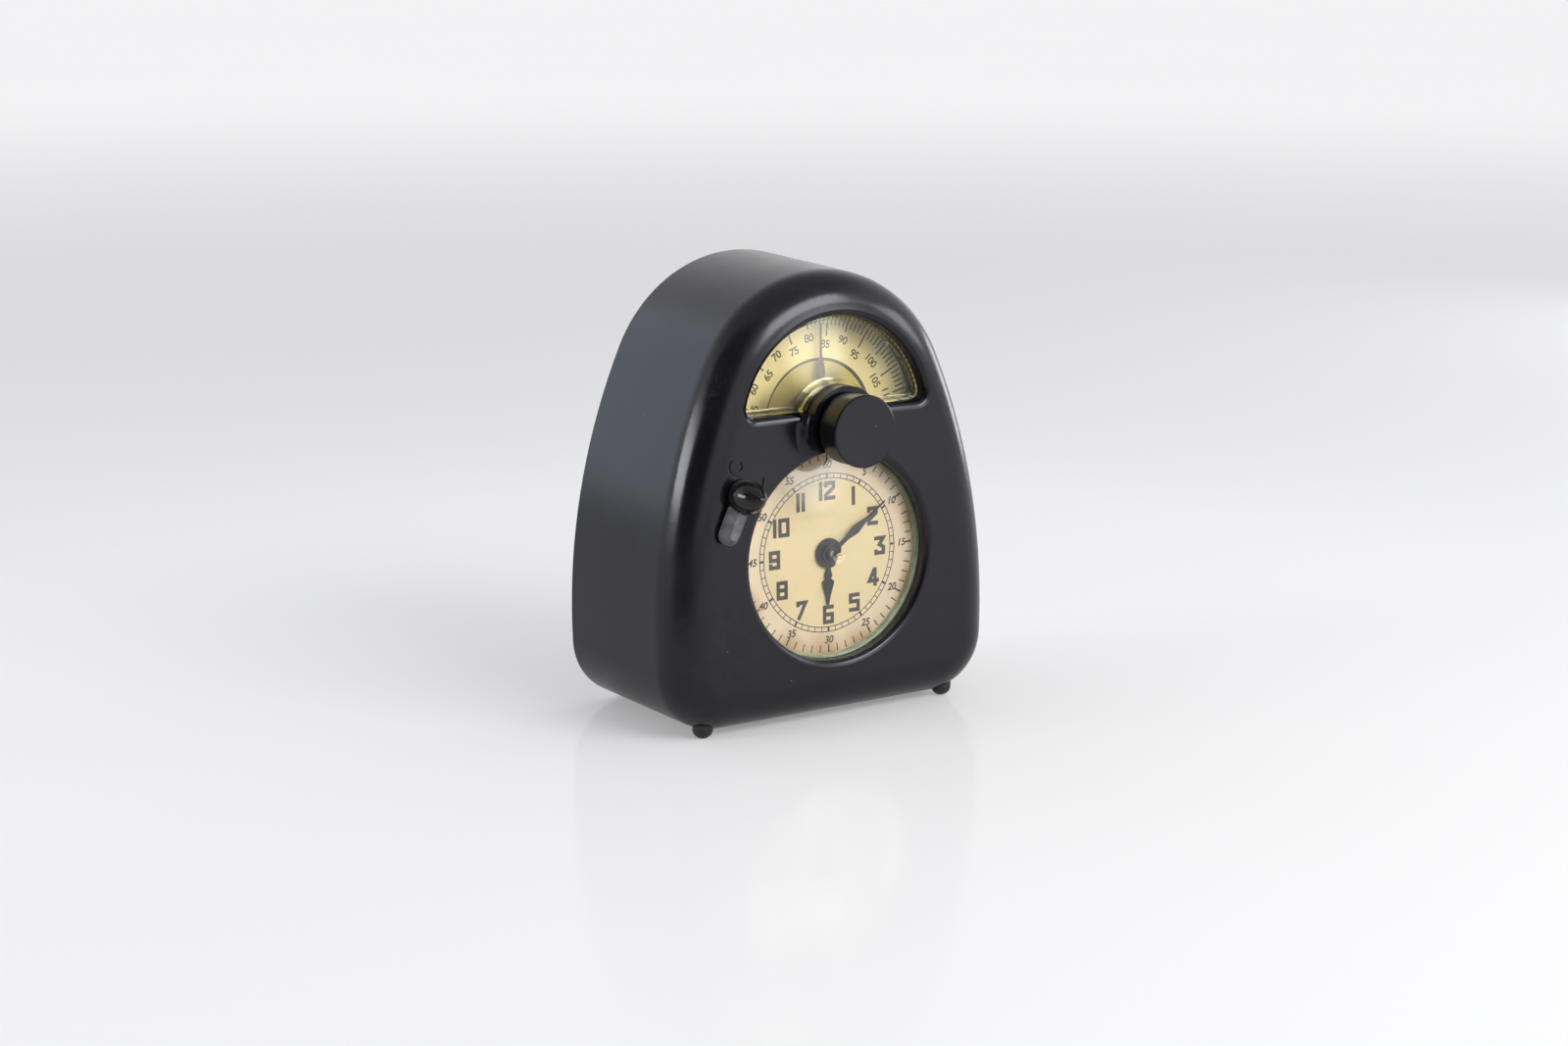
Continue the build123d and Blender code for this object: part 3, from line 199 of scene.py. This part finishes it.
def softbox(name, azimuth, elevation, size, radiance):
    """An area light that faces the clock."""
    lamp = bpy.data.lights.new(name, "AREA")
    lamp.shape = "RECTANGLE"
    lamp.size = size[0]
    lamp.size_y = size[1]
    lamp.energy = radiance * math.pi * size[0] * size[1]
    way = towards(azimuth, elevation)
    turn = way.to_track_quat("Z", "Y").to_matrix().to_4x4()
    lamp_object = bpy.data.objects.new(name, lamp)
    lamp_object.matrix_world = Matrix.Translation(LAMP_AIM + way * LAMP_DISTANCE) @ turn
    bpy.context.scene.collection.objects.link(lamp_object)


def cone(nodes, links, azimuth, elevation, core, edge):
    """One inside a cone of the sky, fading to nought at its edge."""
    sky = nodes.new("ShaderNodeTexCoord").outputs["Generated"]
    facing = nodes.new("ShaderNodeVectorMath")
    facing.operation = "DOT_PRODUCT"
    links.new(sky, facing.inputs[0])
    facing.inputs[1].default_value = towards(azimuth, elevation)
    fade = nodes.new("ShaderNodeMapRange")
    fade.interpolation_type = "SMOOTHSTEP"
    links.new(facing.outputs["Value"], fade.inputs["Value"])
    fade.inputs["From Min"].default_value = math.cos(math.radians(edge))
    fade.inputs["From Max"].default_value = math.cos(math.radians(core))
    return fade.outputs["Result"]


def tinted(nodes, links, factor, first, second):
    """A mix of two colours, of which the first may also be a socket."""
    mix = nodes.new("ShaderNodeMix")
    mix.data_type = "RGBA"
    links.new(factor, mix.inputs[0])
    if isinstance(first, bpy.types.NodeSocket):
        links.new(first, mix.inputs[6])
    else:
        mix.inputs[6].default_value = (*first, 1)
    mix.inputs[7].default_value = (*second, 1)
    return mix.outputs[2]


def make_world():
    """A pale tent, dimmer overhead, bluer behind, dark near the camera, with a glow at the front right."""
    world = bpy.data.worlds.new("studio")
    world.use_nodes = True
    nodes = world.node_tree.nodes
    links = world.node_tree.links
    colour = tinted(nodes, links, cone(nodes, links, *TOP_CONE), TENT_COLOUR, TOP_COLOUR)
    colour = tinted(nodes, links, cone(nodes, links, *BLUE_CONE), colour, BLUE_COLOUR)
    colour = tinted(nodes, links, cone(nodes, links, *GAP_CONE), colour, GAP_COLOUR)
    colour = tinted(nodes, links, cone(nodes, links, *GLOW_CONE), colour, GLOW_COLOUR)
    links.new(colour, nodes["Background"].inputs["Color"])
    bpy.context.scene.world = world
    bpy.context.scene.view_settings.view_transform = "Standard"


def make_lights():
    for settings in SOFTBOXES:
        softbox(*settings)


def make_floor():
    mesh = bpy.data.meshes.new("floor")
    reach = FLOOR_REACH
    corners = [(-reach, -reach, 0), (reach, -reach, 0), (reach, reach, 0), (-reach, reach, 0)]
    mesh.from_pydata(corners, [], [(0, 1, 2, 3)])
    floor = bpy.data.objects.new("floor", mesh)
    bpy.context.scene.collection.objects.link(floor)
    mesh.materials.append(floor_material())


# ---------------------------------------------------------------- material helpers
class Surface:
    """A principled material with short calls that add and wire its nodes."""

    def __init__(self, name, **sockets):
        self.material = bpy.data.materials.new(name)
        self.material.use_nodes = True
        self.nodes = self.material.node_tree.nodes
        self.links = self.material.node_tree.links
        self.shader = self.nodes["Principled BSDF"]
        for socket, value in sockets.items():
            self.set(socket.replace("_", " ").title(), value)

    def set(self, socket, value):
        self.feed(self.shader.inputs[socket], value)

    def feed(self, socket, value):
        if isinstance(value, bpy.types.NodeSocket):
            self.links.new(value, socket)
        elif isinstance(value, tuple) and len(value) == 3 and socket.type == "RGBA":
            socket.default_value = (*value, 1)
        else:
            socket.default_value = value

    def add(self, kind, inputs, output=0, **settings):
        made = self.nodes.new(kind)
        for key, value in settings.items():
            setattr(made, key, value)
        for socket, value in inputs.items():
            self.feed(made.inputs[socket], value)
        return made.outputs[output]

    def place(self):
        return self.add("ShaderNodeTexCoord", {}, "Object")

    def normal(self):
        return self.add("ShaderNodeTexCoord", {}, "Normal")

    def noise(self, scale, detail=3.0, roughness=0.5, at=None, distortion=0.0):
        inputs = {"Vector": at or self.place(), "Scale": scale, "Detail": detail}
        inputs.update({"Roughness": roughness, "Distortion": distortion})
        return self.add("ShaderNodeTexNoise", inputs)

    def stretched(self, scale, turn=(0, 0, 0)):
        inputs = {"Vector": self.place(), "Scale": scale, "Rotation": turn}
        return self.add("ShaderNodeMapping", inputs)

    def maths(self, operation, first, second=0.0):
        return self.add("ShaderNodeMath", {0: first, 1: second}, operation=operation)

    def fade(self, value, start, end, low=0.0, high=1.0):
        inputs = {"Value": value, "From Min": start, "From Max": end, "To Min": low, "To Max": high}
        return self.add("ShaderNodeMapRange", inputs, interpolation_type="SMOOTHSTEP")

    def mix(self, factor, first, second):
        return self.add("ShaderNodeMix", {0: factor, 6: first, 7: second}, 2, data_type="RGBA")

    def blend(self, factor, first, second):
        return self.add("ShaderNodeMix", {0: factor, 2: first, 3: second}, 0, data_type="FLOAT")

    def distance(self, point):
        inputs = {0: self.place(), 1: tuple(point)}
        return self.add("ShaderNodeVectorMath", inputs, "Value", operation="DISTANCE")

    def radius_from(self, point):
        """Distance from the line that runs through a point along the arbors."""
        offset = self.add("ShaderNodeVectorMath", {0: self.place(), 1: tuple(point)}, operation="SUBTRACT")
        inputs = {0: offset, 1: tuple(AXIS)}
        across = self.add("ShaderNodeVectorMath", inputs, operation="CROSS_PRODUCT")
        return self.add("ShaderNodeVectorMath", {0: across}, "Value", operation="LENGTH")

    def ring_fade(self, point, radii):
        """Nought within the first radius in millimetres and one beyond the second, or the reverse."""
        return self.fade(self.radius_from(point), radii[0] * MM, radii[1] * MM)

    def part(self, vector, axis):
        return self.add("ShaderNodeSeparateXYZ", {0: vector}, axis)

    def specks(self, scale, size, share):
        """Small round specks in a share of the cells of a Voronoi pattern."""
        cells = {"Vector": self.place(), "Scale": scale}
        near = self.add("ShaderNodeTexVoronoi", cells, "Distance")
        colour = self.add("ShaderNodeTexVoronoi", cells, "Color")
        dot = self.maths("LESS_THAN", near, size)
        chosen = self.maths("LESS_THAN", self.part(colour, "X"), share)
        return self.maths("MULTIPLY", dot, chosen)

    def bump(self, height, strength, distance):
        inputs = {"Height": height, "Strength": strength, "Distance": distance}
        self.set("Normal", self.add("ShaderNodeBump", inputs))


# ---------------------------------------------------------------- materials
def floor_material():
    """Pale acrylic with a faint glow; mirrored, it is rougher, and darker at the left and by the gap."""
    surface = Surface("studio_floor")
    surface.set("IOR", FLOOR_IOR)
    cloud = surface.noise(1.5, 2.0)
    pale = surface.mix(cloud, (0.65, 0.65, 0.655), (0.67, 0.67, 0.675))
    mirrored = surface.add("ShaderNodeLightPath", {}, "Is Glossy Ray")
    zone = surface.fade(surface.distance(GAP_MIDDLE), *GAP_FADE)
    leftward = surface.fade(surface.part(surface.place(), "X"), *FLOOR_DIMMED)
    dim = surface.maths("MULTIPLY", surface.maths("MAXIMUM", zone, leftward), mirrored)
    surface.set("Base Color", surface.mix(dim, pale, GAP_COLOUR))
    surface.set("Emission Color", (1.0, 1.0, 1.0))
    from_clock = surface.distance((0, 0, 0))
    glow = surface.fade(from_clock, *FLOOR_GLOW)
    surface.set("Emission Strength", surface.blend(dim, glow, DIMMED_GLOW))
    near = surface.fade(surface.noise(9.0), 0.2, 0.8, *NEAR_ROUGHNESS)
    direct = surface.blend(surface.fade(from_clock, *ROUGHER_BETWEEN), near, FAR_ROUGHNESS)
    surface.set("Roughness", surface.blend(mirrored, direct, MIRRORED_ROUGHNESS))
    return surface.material


def bakelite(name, deep, worn, gloss, dull, wear_points=()):
    """Moulded black phenolic: faint flow marks, rubbed edges, a few dust specks and hairlines."""
    surface = Surface(name)
    cloud = surface.noise(22.0, 3.0, 0.5)
    colour = surface.mix(surface.fade(cloud, 0.35, 0.75), deep, worn)
    facing = surface.maths("MULTIPLY", surface.part(surface.normal(), "Y"), -1.0)
    edge = surface.maths(
        "MULTIPLY", surface.fade(facing, 0.45, 0.62), surface.fade(facing, 0.86, 0.7)
    )
    grain = surface.fade(surface.noise(700.0, 4.0, 0.7), 0.5, 0.72)
    patches = surface.fade(surface.noise(45.0, 3.0), 0.5, 0.68)
    rubbed = surface.maths("MULTIPLY", surface.maths("MULTIPLY", edge, grain), patches)
    colour = surface.mix(surface.maths("MULTIPLY", rubbed, 0.6), colour, (0.05, 0.044, 0.04))
    for point, reach in wear_points:
        near = surface.fade(surface.distance(point), reach, 0.0)
        stain = surface.maths("MULTIPLY", near, surface.fade(surface.noise(260.0, 5.0, 0.7), 0.46, 0.66))
        colour = surface.mix(surface.maths("MULTIPLY", stain, 0.3), colour, (0.03, 0.024, 0.02))
    dust = surface.specks(230.0, 0.045, 0.05)
    colour = surface.mix(surface.maths("MULTIPLY", dust, 0.55), colour, (0.30, 0.30, 0.29))
    surface.set("Base Color", colour)
    surface.set("Specular Tint", (0.95, 0.95, 1.05))
    shine = surface.fade(surface.noise(60.0, 4.0, 0.6), 0.3, 0.75, gloss, dull)
    surface.set("Roughness", surface.blend(surface.maths("MULTIPLY", rubbed, 0.6), shine, 0.5))
    hairline = surface.noise(1.0, 2.0, at=surface.stretched((90, 90, 1800), (0.5, 0.3, 0.9)))
    surface.bump(hairline, 0.03, 0.0002)
    return surface.material


def case_material():
    points = [(face_point(dial, u, v), reach * MM) for dial, u, v, reach in CASE_WEAR]
    return bakelite("case_bakelite", (0.0035, 0.0038, 0.005), (0.0065, 0.0066, 0.008), 0.17, 0.25, points)


def knob_material():
    return bakelite("knob_bakelite", (0.0045, 0.0045, 0.0055), (0.009, 0.009, 0.0095), 0.2, 0.28)


def lever_material():
    """Glossy at the bullet over the pivot, satin along the arm, and greyer there with a painted sheen."""
    surface = Surface("lever_bakelite")
    arm = surface.ring_fade(box_middle("lever_shaft"), LEVER_BULLET_FADE)
    cloud = surface.fade(surface.noise(240.0, 4.0), 0.35, 0.7)
    bullet = surface.mix(cloud, (0.006, 0.006, 0.007), (0.012, 0.011, 0.011))
    # Painted sheen: the arm's mid grey stands for the light its facets catch
    painted_sheen_bar = surface.mix(cloud, (0.08, 0.081, 0.086), (0.17, 0.17, 0.175))
    surface.set("Base Color", surface.mix(arm, bullet, painted_sheen_bar))
    satin = surface.fade(surface.noise(500.0), 0.3, 0.7, 0.3, 0.42)
    surface.set("Roughness", surface.blend(arm, 0.14, satin))
    surface.bump(surface.noise(1300.0, 3.0), 0.06, 0.0002)
    return surface.material


def metal(name, dark, light, rough, smooth, brushed=(1, 1, 12), metallic=1.0):
    """Worn metal with brush marks and tarnish."""
    surface = Surface(name, metallic=metallic)
    marks = surface.noise(180.0, 3.0, at=surface.stretched(brushed))
    tarnish = surface.noise(130.0, 4.0, 0.65)
    surface.set("Base Color", surface.mix(surface.fade(tarnish, 0.3, 0.7), dark, light))
    surface.set("Roughness", surface.fade(marks, 0.3, 0.7, smooth, rough))
    surface.bump(marks, 0.12, 0.00008)
    return surface.material


def rubber_material():
    surface = Surface("foot_rubber")
    cloud = surface.noise(300.0, 4.0)
    surface.set("Base Color", surface.mix(cloud, (0.008, 0.008, 0.008), (0.022, 0.021, 0.02)))
    surface.set("Roughness", surface.fade(cloud, 0.3, 0.7, 0.3, 0.5))
    surface.bump(cloud, 0.15, 0.0002)
    return surface.material


def clock_dial_material():
    """Cream paper-white enamel: yellower inside the track, pinker outside, browned towards the rim by stains and
    by painted shade.
    """
    surface = Surface("clock_dial_paint")
    middle = box_middle("clock_dial")
    cloud = surface.noise(45.0, 4.0, 0.6)
    inner = surface.mix(cloud, (0.71, 0.55, 0.30), (0.77, 0.61, 0.37))
    outer = surface.mix(cloud, (0.73, 0.56, 0.39), (0.80, 0.64, 0.47))
    colour = surface.mix(surface.ring_fade(middle, TRACK_ZONE_FADE), inner, outer)
    # Browned in patches towards the rim: partly real staining, partly painted shade darkening the dial towards its
    # edge
    rim = surface.ring_fade(middle, DIAL_RIM_FADE)
    patches = surface.fade(surface.noise(120.0, 5.0, 0.7), 0.40, 0.68)
    colour = surface.mix(surface.maths("MULTIPLY", rim, patches), colour, (0.44, 0.25, 0.11))
    for degrees, reach in DIAL_STAINS:
        turn = math.radians(degrees)
        point = middle + (RIGHT * math.cos(turn) + UP * math.sin(turn)) * DIAL_STAIN_R * MM
        near = surface.fade(surface.distance(point), reach * MM, 1 * MM)
        colour = surface.mix(surface.maths("MULTIPLY", near, 0.75), colour, (0.42, 0.235, 0.10))
    freckles = surface.specks(420.0, 0.10, 0.12)
    colour = surface.mix(surface.maths("MULTIPLY", freckles, 0.45), colour, (0.30, 0.19, 0.10))
    surface.set("Base Color", colour)
    surface.set("Roughness", surface.fade(cloud, 0.3, 0.7, 0.55, 0.7))
    surface.bump(surface.noise(900.0, 2.0), 0.05, 0.0001)
    return surface.material


def timer_dial_material():
    """Cream outside the crescent and olive inside it, with painted shade in places, and browned towards the rim.
    """
    surface = Surface("timer_dial_paint")
    middle = box_middle("timer_dial")
    cloud = surface.noise(50.0, 4.0, 0.6)
    colour = surface.mix(cloud, (0.74, 0.66, 0.44), (0.80, 0.72, 0.50))
    inner = surface.mix(cloud, (0.46, 0.40, 0.15), (0.54, 0.47, 0.20))
    colour = surface.mix(surface.ring_fade(middle, TIMER_ZONE_FADE), colour, inner)
    # Painted shade: the dial darkened to a deep olive round each listed place
    for dial, u, v, reach in TIMER_PAINTED_SHADE:
        near = surface.fade(surface.distance(face_point(dial, u, v)), reach * MM, 0.0)
        colour = surface.mix(surface.maths("MULTIPLY", near, 0.85), colour, (0.17, 0.13, 0.02))
    rim = surface.ring_fade(middle, TIMER_RIM_FADE)
    patches = surface.fade(surface.noise(150.0, 5.0, 0.7), 0.40, 0.70)
    colour = surface.mix(surface.maths("MULTIPLY", rim, patches), colour, (0.34, 0.25, 0.07))
    surface.set("Base Color", colour)
    surface.set("Roughness", surface.fade(cloud, 0.3, 0.7, 0.5, 0.65))
    surface.bump(surface.noise(900.0, 2.0), 0.05, 0.0001)
    return surface.material


def ink_material(name, dark, light):
    surface = Surface(name)
    cloud = surface.noise(380.0, 4.0, 0.7)
    surface.set("Base Color", surface.mix(surface.fade(cloud, 0.35, 0.7), dark, light))
    surface.set("Roughness", surface.fade(cloud, 0.3, 0.7, 0.5, 0.7))
    surface.bump(cloud, 0.1, 0.00005)
    return surface.material


def clear_material(name, tint, haze_tint, smears, cut_rim=None):
    """Old glass or plastic that lets the lamps through to what is behind it, greener at any cut rim."""
    surface = Surface(name, roughness=0.0)
    surface.set("Transmission Weight", 1.0)
    surface.set("IOR", CLEAR_IOR)
    cloud = surface.noise(70.0, 5.0, 0.65)
    colour = surface.mix(surface.fade(cloud, 0.45, 0.8), tint, haze_tint)
    if cut_rim:
        edge = surface.ring_fade(box_middle(cut_rim), GLASS_RIM_FADE)
        colour = surface.mix(edge, colour, GLASS_RIM_COLOUR)
    surface.set("Base Color", colour)
    surface.set("Roughness", surface.fade(surface.noise(160.0, 5.0, 0.7), 0.45, 0.8, 0.0, smears))
    lamps = surface.add("ShaderNodeLightPath", {}, "Is Shadow Ray")
    through = surface.add("ShaderNodeBsdfTransparent", {"Color": tint})
    output = surface.nodes["Material Output"]
    mixed = surface.add("ShaderNodeMixShader", {0: lamps, 1: surface.shader.outputs[0], 2: through})
    surface.links.new(mixed, output.inputs["Surface"])
    return surface.material


# ---------------------------------------------------------------- places
def box_middle(node):
    """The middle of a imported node's box."""
    low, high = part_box(node)
    return (low + high) / 2


def face_point(node, u, v):
    """A point level with a dial, u to the right and v up the face from its middle, in millimetres."""
    return box_middle(node) + (RIGHT * u + UP * v) * MM


def dial_frame(node):
    """The matrix of a dial's front surface: x to the right, y up the face, z out of it."""
    front = box_middle(node) + OUT * DIAL_THICKNESS / 2 * MM
    turn = Matrix((RIGHT, UP, OUT)).transposed().to_4x4()
    return Matrix.Translation(front) @ turn


def around(radius, clockwise):
    """A point on a dial, at an angle from its top."""
    turn = math.radians(clockwise)
    return Vector((radius * math.sin(turn), radius * math.cos(turn)))


# ---------------------------------------------------------------- printed marks
def add_prism(mesh, outline):
    """A thin closed solid over an outline given counter-clockwise, in millimetres."""
    low = [mesh.verts.new((x * MM, y * MM, -INK_SUNK * INK_HEIGHT * MM)) for x, y in outline]
    high = [mesh.verts.new((x * MM, y * MM, INK_HEIGHT * MM)) for x, y in outline]
    mesh.faces.new(high)
    mesh.faces.new(low[::-1])
    count = len(outline)
    for index in range(count):
        after = (index + 1) % count
        mesh.faces.new((low[index], low[after], high[after], high[index]))


def add_ring(mesh, inner, outer, segments=360):
    """A thin closed ring."""
    loops = []
    for radius, height in ((inner, -INK_SUNK), (outer, -INK_SUNK), (outer, 1.0), (inner, 1.0)):
        loop = []
        for step in range(segments):
            x, y = around(radius, 360.0 * step / segments)
            loop.append(mesh.verts.new((x * MM, y * MM, height * INK_HEIGHT * MM)))
        loops.append(loop)
    for side in range(4):
        first = loops[side]
        second = loops[(side + 1) % 4]
        for step in range(segments):
            after = (step + 1) % segments
            mesh.faces.new((first[step], first[after], second[after], second[step]))


def add_mark(mesh, clockwise, start, end, width):
    """A radial tick between two radii."""
    along = around(1.0, clockwise)
    side = Vector((along.y, -along.x)) * width / 2
    corners = [along * start - side, along * start + side, along * end + side, along * end - side]
    add_prism(mesh, corners)


def mitred(points, width):
    """The two sides of a square-ended stroke through points, mitred, and whether it closes on itself."""
    closed = points[0] == points[-1]
    path = [Vector(point) for point in points[: -1 if closed else None]]
    count = len(path)
    sides = []
    for index, point in enumerate(path):
        before = path[index - 1] if closed or index else None
        after = path[(index + 1) % count] if closed or index < count - 1 else None
        arriving = (point - before).normalized() if before is not None else None
        leaving = (after - point).normalized() if after is not None else None
        if arriving is None:
            point = point - leaving * width / 2
            arriving = leaving
        if leaving is None:
            point = point + arriving * width / 2
            leaving = arriving
        across = (Vector((-arriving.y, arriving.x)) + Vector((-leaving.y, leaving.x))).normalized()
        reach = width / 2 / max(MITRE_LIMIT, across.dot(Vector((-leaving.y, leaving.x))))
        sides.append((point + across * reach, point - across * reach))
    return sides, closed


def add_stroke(mesh, points, width):
    """A stroke as a chain of four-sided thin prisms that share their walls' places."""
    sides, closed = mitred(points, width)
    pairs = list(zip(sides, sides[1:]))
    if closed:
        pairs.append((sides[-1], sides[0]))
    for (left, right), (next_left, next_right) in pairs:
        add_prism(mesh, [right, next_right, next_left, left])


def add_numeral(mesh, text, centre):
    """A blocky hour numeral, upright, about its centre."""
    width, height = HOUR_NUMERAL_SIZE
    line = HOUR_STROKE
    widths = [line if digit == "1" else width for digit in text]
    left = centre[0] - (sum(widths) + HOUR_GAP * (len(text) - 1)) / 2
    bottom = centre[1] - height / 2 + line / 2
    for digit, digit_width in zip(text, widths):
        run = digit_width - line
        rise = (height - line) / 2
        for stroke in STROKES[digit]:
            points = [(left + line / 2 + x * run, bottom + y * rise) for x, y in stroke]
            add_stroke(mesh, points, line)
        left += digit_width + HOUR_GAP


def add_text(mesh, text, height, place, turn=0.0, slant=0.0, weight=0.0):
    """Small round numerals, as thin solids."""
    curve = bpy.data.curves.new("numeral", "FONT")
    curve.body = text
    curve.align_x = "CENTER"
    curve.align_y = "CENTER"
    curve.size = height * FONT_SIZE_RATIO * MM
    curve.shear = slant
    curve.space_character = FONT_SPACING
    curve.offset = weight * MM
    curve.extrude = INK_HEIGHT / 2 * MM
    curve.resolution_u = 5
    holder = bpy.data.objects.new("numeral", curve)
    bpy.context.scene.collection.objects.link(holder)
    bpy.context.view_layer.update()
    evaluated = holder.evaluated_get(bpy.context.evaluated_depsgraph_get())
    shape = bpy.data.meshes.new_from_object(evaluated)
    lift = INK_HEIGHT / 3
    move = Matrix.Translation((place[0] * MM, place[1] * MM, lift * MM))
    shape.transform(move @ Matrix.Rotation(math.radians(turn), 4, "Z"))
    mesh.from_mesh(shape)
    bpy.data.meshes.remove(shape)
    bpy.data.objects.remove(holder)
    bpy.data.curves.remove(curve)


def finish_print(mesh, name, node, material, body):
    """Lay a print on its dial and let it ride with the dial's body."""
    bmesh.ops.remove_doubles(mesh, verts=mesh.verts, dist=1e-7)
    bmesh.ops.recalc_face_normals(mesh, faces=mesh.faces)
    mesh.transform(dial_frame(node))
    data = bpy.data.meshes.new(name)
    mesh.to_mesh(data)
    mesh.free()
    piece = bpy.data.objects.new(name, data)
    data.materials.append(material)
    bpy.context.scene.collection.objects.link(piece)
    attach(piece, body)


def print_clock_dial():
    """The hour numerals, the minute track and the minute numerals."""
    brown = ink_material("clock_ink", (0.022, 0.014, 0.012), (0.05, 0.034, 0.028))
    grey = ink_material("numeral_ink", (0.045, 0.034, 0.034), (0.07, 0.055, 0.054))
    hours = bmesh.new()
    for hour in range(1, 13):
        add_numeral(hours, str(hour), around(HOUR_NUMERAL_R, 30.0 * hour))
    finish_print(hours, "hour_numerals", "clock_dial", grey, "case")
    track = bmesh.new()
    for radius in (TRACK_INNER_R, TRACK_OUTER_R):
        add_ring(track, radius - TRACK_LINE / 2, radius + TRACK_LINE / 2)
    for minute in range(MINUTES):
        other = 0 if minute % FIVE == 0 else 1
        add_mark(track, 6.0 * minute, TRACK_INNER_R, TRACK_OUTER_R, TRACK_TICK_WIDTHS[other])
        start, end = OUTER_TICK
        if minute % FIVE == 0:
            start -= FIVE_TICK_EXTRA
        add_mark(track, 6.0 * minute, start, end, OUTER_TICK_WIDTHS[other])
    finish_print(track, "minute_track", "clock_dial", brown, "case")
    numbers = bmesh.new()
    for minute in range(FIVE, MINUTES + 1, FIVE):
        place = around(MINUTE_NUMERAL_R, 6.0 * minute)
        add_text(numbers, str(minute), MINUTE_NUMERAL_H, place, slant=0.2, weight=0.09)
    finish_print(numbers, "minute_numerals", "clock_dial", brown, "case")


def timer_turn(minute):
    """A minute's angle from the pointer, clockwise, at rest."""
    return (minute - TIMER_SHOWN) * TIMER_STEP


def print_timer_scale():
    """The timer's ticks, longest at the fives, and its numerals."""
    ink = ink_material("timer_ink", (0.02, 0.018, 0.008), (0.045, 0.04, 0.018))
    ticks = bmesh.new()
    numbers = bmesh.new()
    for minute in range(TIMER_MINUTES + 1):
        turn = timer_turn(minute)
        ten = minute % 10 == 0
        five = minute % FIVE == 0 and not ten
        numbered = ten or five
        start = FIVE_TICK_R if five else TEN_TICK_R if ten else MINUTE_TICK_R
        add_mark(ticks, turn, start, TIMER_TICK_R, TIMER_TICK_WIDTHS[0 if numbered else 1])
        if numbered:
            place = around(TENS_R if ten else FIVES_R, turn)
            add_text(numbers, str(minute), TIMER_NUMERAL_H, place, turn=-turn, weight=0.07)
    finish_print(ticks, "timer_ticks", "timer_dial", ink, "timer_rotor")
    finish_print(numbers, "timer_numerals", "timer_dial", ink, "timer_rotor")


def print_timer_crescent():
    """A line round the dial that widens as the minutes go up."""
    ink = ink_material("crescent_ink", (0.022, 0.019, 0.008), (0.045, 0.04, 0.018))
    crescent = bmesh.new()
    outer = []
    inner = []
    for half_minute in range(2 * ARC_FROM, 2 * TIMER_MINUTES + 1):
        minute = half_minute / 2
        width = ARC_WIDTH + (minute - ARC_FROM) * ARC_GROWTH
        outer.append(around(TIMER_ARC_R, timer_turn(minute)))
        inner.append(around(TIMER_ARC_R - width, timer_turn(minute)))
    for index in range(len(outer) - 1):
        add_prism(crescent, [outer[index], outer[index + 1], inner[index + 1], inner[index]])
    finish_print(crescent, "timer_crescent", "timer_dial", ink, "timer_rotor")


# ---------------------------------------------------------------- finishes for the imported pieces
def node_materials():
    """The material of each slot, and of the few nodes that look different from their slot."""
    brass = metal("aged_brass", (0.42, 0.27, 0.08), (0.66, 0.47, 0.17), 0.42, 0.26)
    steel = metal("plated_steel", (0.36, 0.35, 0.33), (0.56, 0.55, 0.53), 0.42, 0.28)
    gunmetal = metal("gunmetal", (0.026, 0.024, 0.026), (0.062, 0.058, 0.06), 0.46, 0.34, metallic=0.6)
    cover_steel = metal("cover_steel", (0.25, 0.24, 0.23), (0.32, 0.31, 0.295), 0.5, 0.36, (1, 14, 1))
    old_glass = ((0.97, 0.985, 0.965), (0.93, 0.93, 0.88))
    old_plastic = ((0.95, 0.92, 0.76), (0.92, 0.88, 0.68))
    slots = {
        "case_black": case_material(),
        "rubber": rubber_material(),
        "cover_steel": cover_steel,
        "steel": steel,
        "dark_steel": gunmetal,
        "brass": brass,
        "glass": clear_material("clock_glass", *old_glass, 0.03, cut_rim="clock_glass"),
        "lens": clear_material("timer_lens", *old_plastic, 0.05),
        "clock_dial": clock_dial_material(),
        "timer_dial": timer_dial_material(),
        "spring_steel": metal("blued_spring", (0.05, 0.06, 0.10), (0.12, 0.13, 0.17), 0.4, 0.22),
        "bell_metal": metal("bell_nickel", (0.45, 0.44, 0.40), (0.66, 0.65, 0.61), 0.3, 0.16),
    }
    special = {
        "glass_spacer_ring": ink_material("spacer_card", (0.30, 0.34, 0.25), (0.46, 0.50, 0.38)),
        "timer_pointer": ink_material("pointer_paint", (0.014, 0.012, 0.006), (0.03, 0.026, 0.012)),
        "timer_knob": knob_material(),
        "bell_lever": lever_material(),
        "hand_set_knob": brass,
        "winding_key": brass,
    }
    return slots, special


def finish_nodes():
    """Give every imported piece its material."""
    slots, special = node_materials()
    for part in frame["record"]["subparts"]:
        node = frame["nodes"][part["node"]]
        material = special.get(part["node"]) or slots[part["material_slot"]]
        for slot in node.material_slots:
            slot.material = material


make_camera()
make_world()
make_lights()
make_floor()
finish_nodes()
print_clock_dial()
print_timer_scale()
print_timer_crescent()

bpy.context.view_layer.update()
